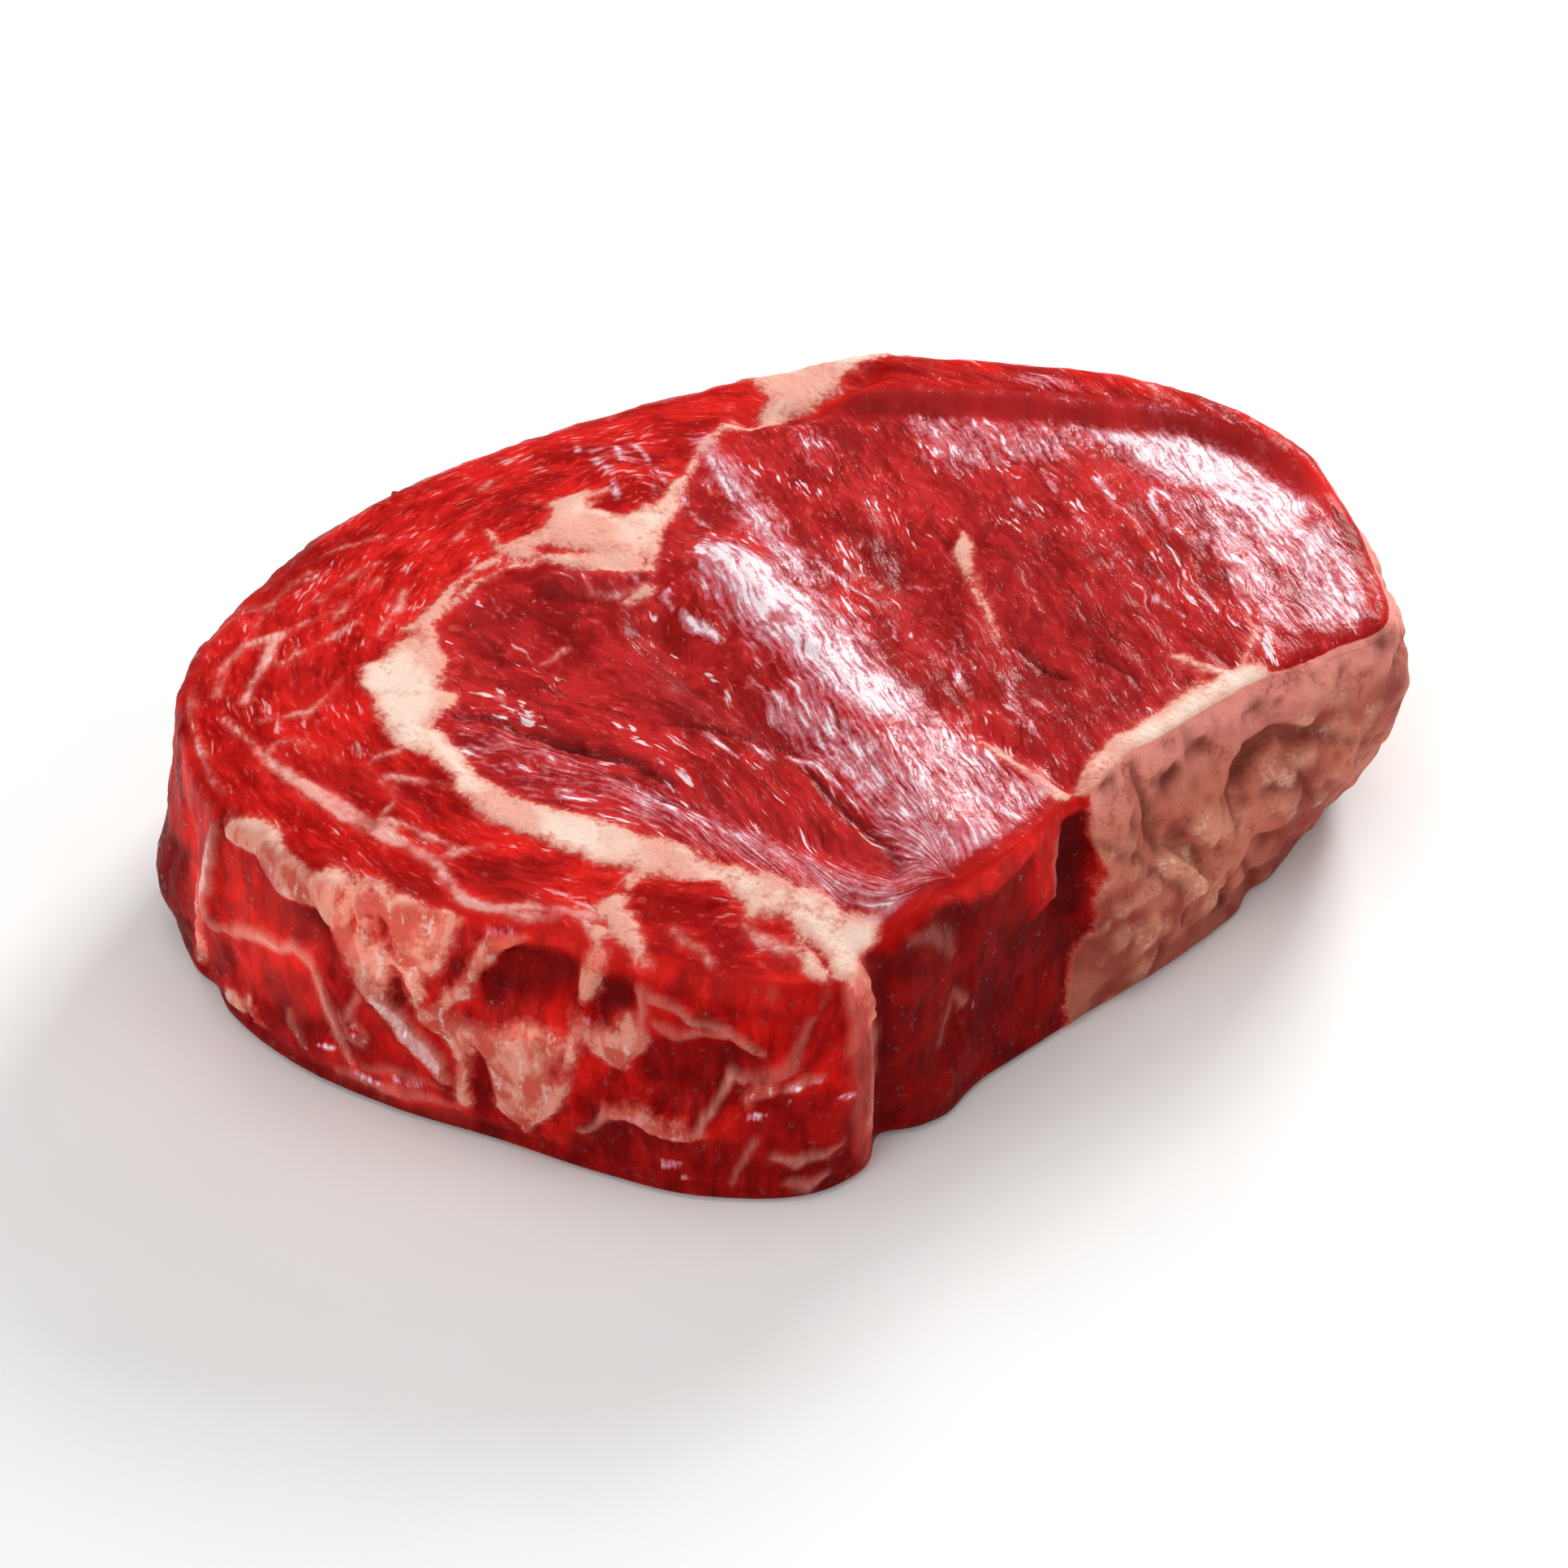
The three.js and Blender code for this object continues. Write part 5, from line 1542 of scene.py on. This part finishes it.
    def build(self, finish: "RawBeef") -> bpy.types.Object:
        """The steak as a Blender object that stands for the CAD solid.

        Args:
            finish: the finish that dresses it.

        Returns:
            The object.
        """
        points, quads, tissue = self.surface()
        mesh = bpy.data.meshes.new("ribeye")
        faces = [row[:3] if row[2] == row[3] else row for row in quads.tolist()]
        mesh.from_pydata(points.tolist(), [], faces)
        for name, values in tissue.items():
            kind, part = ("FLOAT_VECTOR", "vector") if values.ndim == 2 else ("FLOAT", "value")
            layer = mesh.attributes.new(name, kind, "POINT")
            layer.data.foreach_set(part, values.astype(np.float32).ravel())
        mesh.shade_smooth()
        mesh.materials.append(finish.material())
        mesh.update()
        steak = bpy.data.objects.new("ribeye", mesh)
        bpy.context.scene.collection.objects.link(steak)
        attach(steak, "root")
        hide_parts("steak")
        return steak


# -------- finishes


def linear(hex_colour: str) -> tuple[float, float, float, float]:
    """An sRGB hex colour as linear light, by the standard curve: a straight foot, then a power.

    Args:
        hex_colour: the colour, as a hash and six digits.

    Returns:
        Linear red, green, blue and an alpha of 1.
    """
    channels = [int(hex_colour[k : k + 2], 16) / 255 for k in (1, 3, 5)]
    bent = [c / 12.92 if c <= 0.04045 else ((c + 0.055) / 1.055) ** 2.4 for c in channels]
    return (*bent, 1.0)


def add(
    tree: bpy.types.NodeTree, kind: str, inputs: dict | None = None, out: int | str = 0, **settings: str
) -> Socket | bpy.types.Node:
    """Adds a node with its settings and links.

    Args:
        tree: the node tree.
        kind: the node's type.
        inputs: sockets by name or number, each with a value or an output to link.
        out: which output to return.
        **settings: the node's own properties.

    Returns:
        The chosen output, or the node if it has none.
    """
    node = tree.nodes.new(kind)
    for name, value in settings.items():
        setattr(node, name, value)
    for key, value in (inputs or {}).items():
        if isinstance(value, Socket):
            tree.links.new(value, node.inputs[key])
        else:
            node.inputs[key].default_value = value
    return node.outputs[out] if len(node.outputs) else node


@dataclass(frozen=True)
class RawBeef:
    """Fresh cut beef: crimson lean, cream fat and silverskin under a film of moisture.

    Its patterns' sizes are in millimetres, along and across the grain where there are several.
    Lean meat is translucent, so light goes in and comes out redder. The moisture is a clear coat
    that breaks into glints along the furrows of the grain. Sheen, glints, shade and some light are
    also painted into the colour.
    """

    eye_dark: str = "#93100f"
    eye_light: str = "#c62526"
    muscle_dark: str = "#9e0503"
    muscle_light: str = "#dc1e18"
    wall_dark: str = "#850302"
    wall_light: str = "#c8130e"
    blood_and_shade: str = "#440204"
    fat_cream: str = "#f3d3c2"
    fat_pink: str = "#e79f8d"
    fat_edge: str = "#cf4f46"
    fat_vein_and_shade: str = "#c7584a"
    wall_cream: str = "#de8f7b"
    wall_pink: str = "#b9523f"
    streak: str = "#eaa59b"
    film: str = "#c97b6e"
    silver: str = "#dfbcb6"
    fleck: str = "#e05a50"
    sheen: str = "#f5e6ea"
    lilac: str = "#dfbfc9"
    haze: str = "#d5808c"
    cap_tan: str = "#c4705b"
    cap_brown: str = "#97443a"
    cap_red: str = "#9c2c26"
    cap_pale: str = "#dc987a"
    cap_deep: str = "#5c1a14"
    cap_rim: str = "#f1998b"
    cap_painted_glint: str = "#f0cdb8"
    fibre_mm: Triple = (5.0, 1.5, 0.0)
    cell_mm: Triple = (8.0, 3.0, 0.0)
    lens_mm: Triple = (11.0, 2.6, 0.0)
    bundle_mm: Triple = (11.0, 4.5, 0.0)
    strand_mm: Triple = (3.6, 0.65, 0.0)
    fleck_mm: Triple = (2.0, 0.7, 0.0)
    mottle_mm: float = 12.0
    blotch_mm: float = 4.0
    grit_mm: float = 0.7
    drop_mm: float = 1.3
    wander_mm: float = 9.0
    wander_reach: Triple = (3.5, 3.5, 0.0)
    noise_rough: float = 0.55
    ior: float = 1.38
    bare_specular: float = 0.04
    scatter: float = 0.12
    scatter_rgb: Triple = (1.0, 0.25, 0.15)
    scatter_mm: float = 1.6
    coat_rough: float = 0.12

    def material(self) -> bpy.types.Material:
        """The node material. Each tissue is laid over the last by its own mask.

        Returns:
            The material.
        """
        material = bpy.data.materials.new("raw_beef")
        material.use_nodes = True
        tree = material.node_tree
        tree.nodes.clear()

        def read(name: str, out: str = "Fac") -> Socket:
            """A value carried by the mesh."""
            return add(tree, "ShaderNodeAttribute", out=out, attribute_name=name)

        def calc(operation: str, a: Value, b: Value = 0.0, c: Value = 0.0) -> Socket:
            """Arithmetic on values."""
            return add(tree, "ShaderNodeMath", {0: a, 1: b, 2: c}, operation=operation)

        def total(*terms: tuple[Value, Value]) -> Socket:
            """The sum of values, each times its weight.

            Args:
                *terms: pairs of a value and a weight.

            Returns:
                The sum.
            """
            result = calc("MULTIPLY", *terms[0])
            for value, weight in terms[1:]:
                result = calc("MULTIPLY_ADD", value, weight, result)
            return result

        def span(
            value: Value, low: float, high: float, to_low: float = 0.0, to_high: float = 1.0
        ) -> Socket:
            """Eases a value from one range to another."""
            return add(tree, "ShaderNodeMapRange", {
                "Value": value, "From Min": low, "From Max": high, "To Min": to_low, "To Max": to_high,
            }, interpolation_type="SMOOTHSTEP")

        def times(a: Value, b: Value, plus: Value | None = None) -> Socket:
            """The product of two values, and plus a third if there is one."""
            return calc("MULTIPLY", a, b) if plus is None else calc("MULTIPLY_ADD", a, b, plus)

        def over(below: Socket | str, above: Socket | str, share: Value) -> Socket:
            """Lays one colour over another by a share."""
            below, above = (linear(c) if isinstance(c, str) else c for c in (below, above))
            return add(tree, "ShaderNodeMix", {0: share, 6: below, 7: above}, out=2, data_type="RGBA")

        def sized(vector: Value, steps: Triple) -> Socket:
            """A vector divided by a size along each axis."""
            shares = tuple(1 / step if step else 0.0 for step in steps)
            return add(tree, "ShaderNodeVectorMath", {0: vector, 1: shares}, operation="MULTIPLY")

        def speckle(vector: Value, steps: Triple, detail: float = 2.0, out: str = "Fac") -> Socket:
            """Noise whose patches have the given sizes. A third size of 0 makes it flat."""
            return add(tree, "ShaderNodeTexNoise", {
                "Vector": sized(vector, steps), "Scale": 1.0, "Detail": detail,
                "Roughness": self.noise_rough,
            }, out=out, noise_dimensions="3D" if steps[2] else "2D")

        def soften(value: Value, share: Value) -> Socket:
            """Noise pulled to its mean by a share."""
            return calc("MULTIPLY_ADD", calc("SUBTRACT", value, 0.5), share, 0.5)

        # what is read: noises in space, noises along and across the grain, and the tissues
        place = add(tree, "ShaderNodeTexCoord", out="Object")
        in_mm = sized(place, (MM,) * 3)
        mottle = speckle(in_mm, (self.mottle_mm,) * 3)
        blotch = speckle(in_mm, (self.blotch_mm,) * 3, 3.0)
        grit = speckle(in_mm, (self.grit_mm,) * 3)
        wander = speckle(in_mm, (self.wander_mm,) * 3, out="Color")
        grain = add(tree, "ShaderNodeVectorMath", {
            0: wander, 1: self.wander_reach, 2: read("grain", "Vector"),
        }, operation="MULTIPLY_ADD")
        steady = read("steady")
        fibre = soften(speckle(grain, self.fibre_mm), steady)
        bundle = soften(speckle(grain, self.bundle_mm, 1.0), steady)
        fleck = soften(speckle(grain, self.fleck_mm), steady)
        cell = add(tree, "ShaderNodeTexVoronoi", {"Vector": sized(grain, self.cell_mm), "Scale": 1.0},
                   out="Distance", voronoi_dimensions="2D")
        level = calc("ABSOLUTE", calc("SUBTRACT", speckle(grain, self.lens_mm, 1.0), 0.5))
        crack = times(span(level, 0.022, 0.002), span(blotch, 0.46, 0.62))
        crack = times(times(crack, steady), read("up"))
        eye, sheen, dark = read("eye"), read("sheen"), read("shade")
        fat, streak, cap = read("fat"), read("streak"), read("cap")
        film, crease, gleam, up = read("film"), read("crease"), read("gleam"), read("up")

        # lean: two muscles, each between a dark and a light red by mottling, bundles and fibres
        tone = span(total((mottle, 0.35), (bundle, 0.3), (fibre, 0.25), (fleck, 0.1)), 0.39, 0.61)
        eye_red = over(self.eye_dark, self.eye_light, tone)
        muscle_red = over(self.muscle_dark, self.muscle_light, tone)
        wall_tone = span(total((mottle, 0.45), (blotch, 0.3), (fibre, 0.25)), 0.4, 0.6)
        wall_red = over(self.wall_dark, self.wall_light, wall_tone)
        colour = over(wall_red, over(muscle_red, eye_red, eye), up)
        pale = times(blotch, 0.35, times(grit, 0.25, fleck))
        often = span(up, 0.0, 1.0, 0.2, 1.0)
        colour = over(colour, self.fleck, times(span(pale, 0.90, 1.06, 0.0, 0.4), often))
        colour = over(colour, self.blood_and_shade, times(span(pale, 0.72, 0.58, 0.0, 0.2), often))
        # cracks between the bundles, darkened with blood and painted shade
        colour = over(colour, self.blood_and_shade, times(crack, times(eye, 0.3, 0.1)))
        # painted shade from the shade marks, over darker lean
        colour = over(colour, self.blood_and_shade, times(dark, span(up, 0.0, 1.0, 0.85, 0.6)))
        # painted shade in the creases and the valleys between the knobs
        colour = over(colour, self.blood_and_shade, times(crease, 0.8))

        # streaks and seams of fat: pink at the edge, cream inside, with a few fine red veins
        ragged = total((grit, 1.3), (blotch, 2.6), (fibre, 0.8))
        ragged = calc("SUBTRACT", ragged, 2.35)
        wisp = times(ragged, 0.55, streak)
        thin = times(span(wisp, -0.9, 0.5), span(blotch, 0.38, 0.62, 0.3, 0.95))
        colour = over(colour, over(self.fat_edge, self.streak, span(wisp, -0.3, 0.6)), thin)
        depth = calc("ADD", fat, ragged)
        fat_colour = over(self.fat_pink, self.fat_cream, span(depth, 0.0, 1.5))
        fat_colour = over(fat_colour, self.fat_pink, span(mottle, 0.44, 0.62, 0.0, 0.85))
        spotty = total((grit, 0.4), (blotch, 0.6))
        fat_colour = over(fat_colour, self.fat_vein_and_shade, span(spotty, 0.49, 0.36, 0.0, 0.4))
        wall_fat = over(self.wall_pink, self.wall_cream, span(blotch, 0.4, 0.6))
        wall_fat = over(wall_fat, self.silver, span(total((grit, 0.4), (fibre, 0.6)), 0.54, 0.68, 0.0, 0.7))
        wall_fat = over(wall_fat, self.fat_edge, span(spotty, 0.47, 0.38, 0.0, 0.6))
        wall_fat = over(wall_fat, self.fat_edge, span(fibre, 0.46, 0.36, 0.0, 0.6))
        fat_colour = over(wall_fat, fat_colour, up)
        # painted shade in the creases over the fat
        fat_colour = over(fat_colour, self.fat_vein_and_shade, times(crease, 0.8))
        colour = over(colour, self.fat_edge, span(depth, -1.0, 0.1, 0.0, 0.7))
        fat_mask = span(depth, -0.35, 0.4)
        colour = over(colour, fat_colour, fat_mask)

        # membranes on the wall
        skin = over(self.film, self.silver, span(total((film, 1.6), (blotch, 0.6)), 1.5, 1.9))
        colour = over(colour, skin, times(film, span(fibre, 0.3, 0.6, 0.6, 1.0)))

        # the fat cap: tan, mottled brown and pink, darker towards the bottom, dark red in its creases as
        # painted shade, with pale knobs that carry painted light and painted glints on their crests
        height = add(tree, "ShaderNodeSeparateXYZ", {0: in_mm}, out="Z")
        cap_colour = over(self.cap_brown, self.cap_tan, span(mottle, 0.36, 0.56))
        cap_colour = over(cap_colour, self.cap_red, span(blotch, 0.55, 0.75, 0.0, 0.35))
        rim_share = times(span(height, 25.0, 33.0, 0.0, 0.9), span(blotch, 0.35, 0.6, 0.65, 1.0))
        cap_colour = over(cap_colour, self.cap_rim, rim_share)
        cap_colour = over(cap_colour, self.cap_deep, span(height, 12.0, 0.0, 0.0, 0.2))
        cap_colour = over(cap_colour, self.cap_deep, times(crease, 0.85))
        cap_colour = over(cap_colour, self.cap_pale, times(gleam, 0.9))
        cap_colour = over(cap_colour, self.cap_red, span(spotty, 0.46, 0.36, 0.0, 0.45))
        cap_colour = over(cap_colour, self.cap_painted_glint, times(times(span(spotty, 0.54, 0.62), gleam), 0.75))
        cap_mask = span(calc("ADD", cap, ragged), -0.5, 0.5)
        colour = over(colour, cap_colour, cap_mask)

        # painted light: the marked places of the wall are made brighter and a little pinker
        painted_light = times(read("painted_light"), 0.75, 1.0)
        colour = add(tree, "ShaderNodeVectorMath", {0: colour, "Scale": painted_light}, operation="SCALE")
        colour = over(colour, self.fleck, times(read("painted_light"), 0.16))

        # painted sheen on the wet places: a pink haze, and a painted white highlight on the crests of the
        # fibres
        strand = total((soften(speckle(grain, self.strand_mm), steady), 0.7), (fibre, 0.3))
        crest = times(sheen, 0.44, total((strand, 0.85), (blotch, 0.25), (grit, 0.27)))
        wide = span(sheen, 0.03, 0.25)
        haze = times(span(crest, 0.76, 1.0, 0.0, 0.75), wide)
        glint = times(span(crest, 0.94, 1.12, 0.0, 0.9), wide)
        shine = over(self.lilac, self.sheen, span(crest, 1.0, 1.17))
        colour = over(colour, self.haze, haze)
        colour = over(colour, shine, glint)
        # painted glints, scattered in clusters over the lean
        spark = total((strand, 1.0), (bundle, 0.4), (blotch, 0.35))
        spark = times(span(spark, 1.02, 1.12, 0.0, 0.85), span(dark, 0.4, 0.05))
        spark = times(spark, span(eye, 0.0, 1.0, 0.4, 1.0))
        spark = times(spark, calc("SUBTRACT", up, fat_mask))
        colour = over(colour, self.sheen, spark)

        # relief in millimetres: bundles, rounded cells and fibres, all lower in the fat
        lean = calc("SUBTRACT", 1.0, times(calc("MAXIMUM", fat_mask, cap_mask), 0.75))
        grooves = total((bundle, 0.5), (cell, -0.5), (fibre, 0.5))
        relief = times(grooves, times(sheen, 0.12, 0.18))
        relief = times(crack, -0.1, relief)
        relief = times(strand, times(sheen, 0.09, 0.03), relief)
        relief = times(fleck, 0.05, relief)
        relief = times(times(relief, lean), steady)
        drops = span(speckle(in_mm, (self.drop_mm,) * 3), 0.6, 0.68)
        relief = times(grit, span(up, 0.0, 1.0, 0.09, 0.05), relief)
        relief = times(spotty, times(fat_mask, 0.35), relief)
        relief = times(drops, span(up, 0.0, 1.0, 0.13, 0.03), relief)
        bump = add(tree, "ShaderNodeBump", {
            "Height": relief, "Strength": 1.0, "Distance": MM,
        }, out="Normal")

        # the moisture: a clear coat, thicker on the wet places and in small drops
        rough = span(grit, 0.3, 0.7, 0.4, 0.55)
        wall_wet = times(drops, 0.5, 0.03)
        face_wet = times(sheen, 0.35, times(drops, 0.25, 0.12))
        wet = total((wall_wet, calc("SUBTRACT", 1.0, up)), (face_wet, up))
        shader = add(tree, "ShaderNodeBsdfPrincipled", {
            "Base Color": colour, "Roughness": rough, "IOR": self.ior,
            "Specular IOR Level": self.bare_specular, "Normal": bump,
            "Subsurface Weight": self.scatter, "Subsurface Radius": self.scatter_rgb,
            "Subsurface Scale": self.scatter_mm * MM, "Coat Weight": wet,
            "Coat Roughness": self.coat_rough, "Coat IOR": self.ior, "Coat Normal": bump,
        }, out="BSDF")
        add(tree, "ShaderNodeOutputMaterial", {"Surface": shader})
        return material


@dataclass(frozen=True)
class StudioPaper:
    """Matt white paper sweep: a diffuse surface with a barely visible tooth."""

    colour: str = "#fbfbfa"
    shaded: str = "#f6f6f4"
    tooth_scale: float = 40.0  # patches in a metre
    rough: float = 0.9

    def material(self) -> bpy.types.Material:
        """The node material: two near whites by a soft noise.

        Returns:
            The material.
        """
        material = bpy.data.materials.new("studio_paper")
        material.use_nodes = True
        tree = material.node_tree
        tree.nodes.clear()
        place = add(tree, "ShaderNodeTexCoord", out="Object")
        tooth = add(tree, "ShaderNodeTexNoise", {
            "Vector": place, "Scale": self.tooth_scale, "Detail": 2.0,
        })
        colour = add(tree, "ShaderNodeMix", {
            0: tooth, 6: linear(self.colour), 7: linear(self.shaded),
        }, out=2, data_type="RGBA")
        shader = add(tree, "ShaderNodeBsdfPrincipled", {
            "Base Color": colour, "Roughness": self.rough,
        }, out="BSDF")
        add(tree, "ShaderNodeOutputMaterial", {"Surface": shader})
        return material


# -------- the studio


@dataclass(frozen=True)
class Softbox:
    """A square soft light that points at the steak."""

    name: str
    at: Triple
    size: float
    power: float
    colour: str = "#ffffff"


@dataclass
class Studio:
    """A pale floor, soft lights and the camera, in metres, with the lens in millimetres."""

    floor_half: float = 3.0
    target: Triple = (0.5 * MM, -7.0 * MM, 17.0 * MM)
    distance: float = 0.43
    elevation: float = 42.0
    lens: float = 80.0
    sensor: float = 36.0
    clip: Point = (0.01, 20.0)
    surround: float = 0.34
    boxes: tuple[Softbox, ...] = (
        Softbox("back_window", (0.386, 0.726, 0.475), 0.30, 7.6),
        Softbox("overhead", (-0.10, 0.05, 0.9), 0.8, 2.4),
        Softbox("front_fill", (-0.65, -0.75, 0.55), 0.8, 3.5),
        Softbox("left_spark", (-0.50, -0.80, 0.10), 0.05, 0.8),
        Softbox("right_spark", (0.85, -0.45, 0.12), 0.05, 0.7),
        Softbox("right_fill", (0.90, -0.40, 0.50), 0.6, 1.2),
    )

    def floor(self) -> bpy.types.Object:
        """The floor: one flat square with its middle at the origin.

        Returns:
            The floor's object.
        """
        half = self.floor_half
        corners = [(-half, -half, 0), (half, -half, 0), (half, half, 0), (-half, half, 0)]
        mesh = bpy.data.meshes.new("floor")
        mesh.from_pydata(corners, [], [(0, 1, 2, 3)])
        mesh.materials.append(StudioPaper().material())
        floor = bpy.data.objects.new("floor", mesh)
        bpy.context.scene.collection.objects.link(floor)
        return floor

    def lights(self) -> None:
        """The softboxes and a pale surround."""
        for box in self.boxes:
            light = bpy.data.lights.new(box.name, "AREA")
            light.shape = "SQUARE"
            light.size = box.size
            light.energy = box.power
            light.color = linear(box.colour)[:3]
            lamp = bpy.data.objects.new(box.name, light)
            lamp.location = box.at
            lamp.rotation_euler = (-Vector(box.at)).to_track_quat("-Z", "Y").to_euler()
            bpy.context.scene.collection.objects.link(lamp)
        world = bpy.data.worlds.new("surround")
        world.use_nodes = True
        background = world.node_tree.nodes["Background"]
        background.inputs["Color"].default_value = linear("#ffffff")
        background.inputs["Strength"].default_value = self.surround
        bpy.context.scene.world = world

    def camera(self, offset: Array) -> None:
        """The camera, level with the view, aimed at the target.

        Args:
            offset: where the steak's own middle lies in the target's frame, in millimetres.
        """
        tilt = math.radians(self.elevation)
        aim = Vector(self.target) - Vector(offset) * MM
        back = Vector((0.0, -math.cos(tilt), math.sin(tilt)))
        data = bpy.data.cameras.new("camera")
        data.lens = self.lens
        data.sensor_width = self.sensor
        data.clip_start, data.clip_end = self.clip
        camera = bpy.data.objects.new("camera", data)
        camera.location = aim + back * self.distance
        camera.rotation_euler = (-back).to_track_quat("-Z", "Y").to_euler()
        bpy.context.scene.collection.objects.link(camera)
        bpy.context.scene.camera = camera


def main() -> None:
    """Builds the steak and the studio."""
    logging.basicConfig(level=logging.INFO, format="%(name)s: %(message)s")
    ribeye = Ribeye()
    steak = ribeye.build(RawBeef())
    LOG.info("steak: %d points, %d faces", len(steak.data.vertices), len(steak.data.polygons))
    studio = Studio()
    studio.floor()
    studio.lights()
    studio.camera(ribeye.middle())
    bpy.context.scene.view_settings.view_transform = "Standard"
    LOG.info("studio: %d lights", len(studio.boxes))


if __name__ == "__main__":
    main()
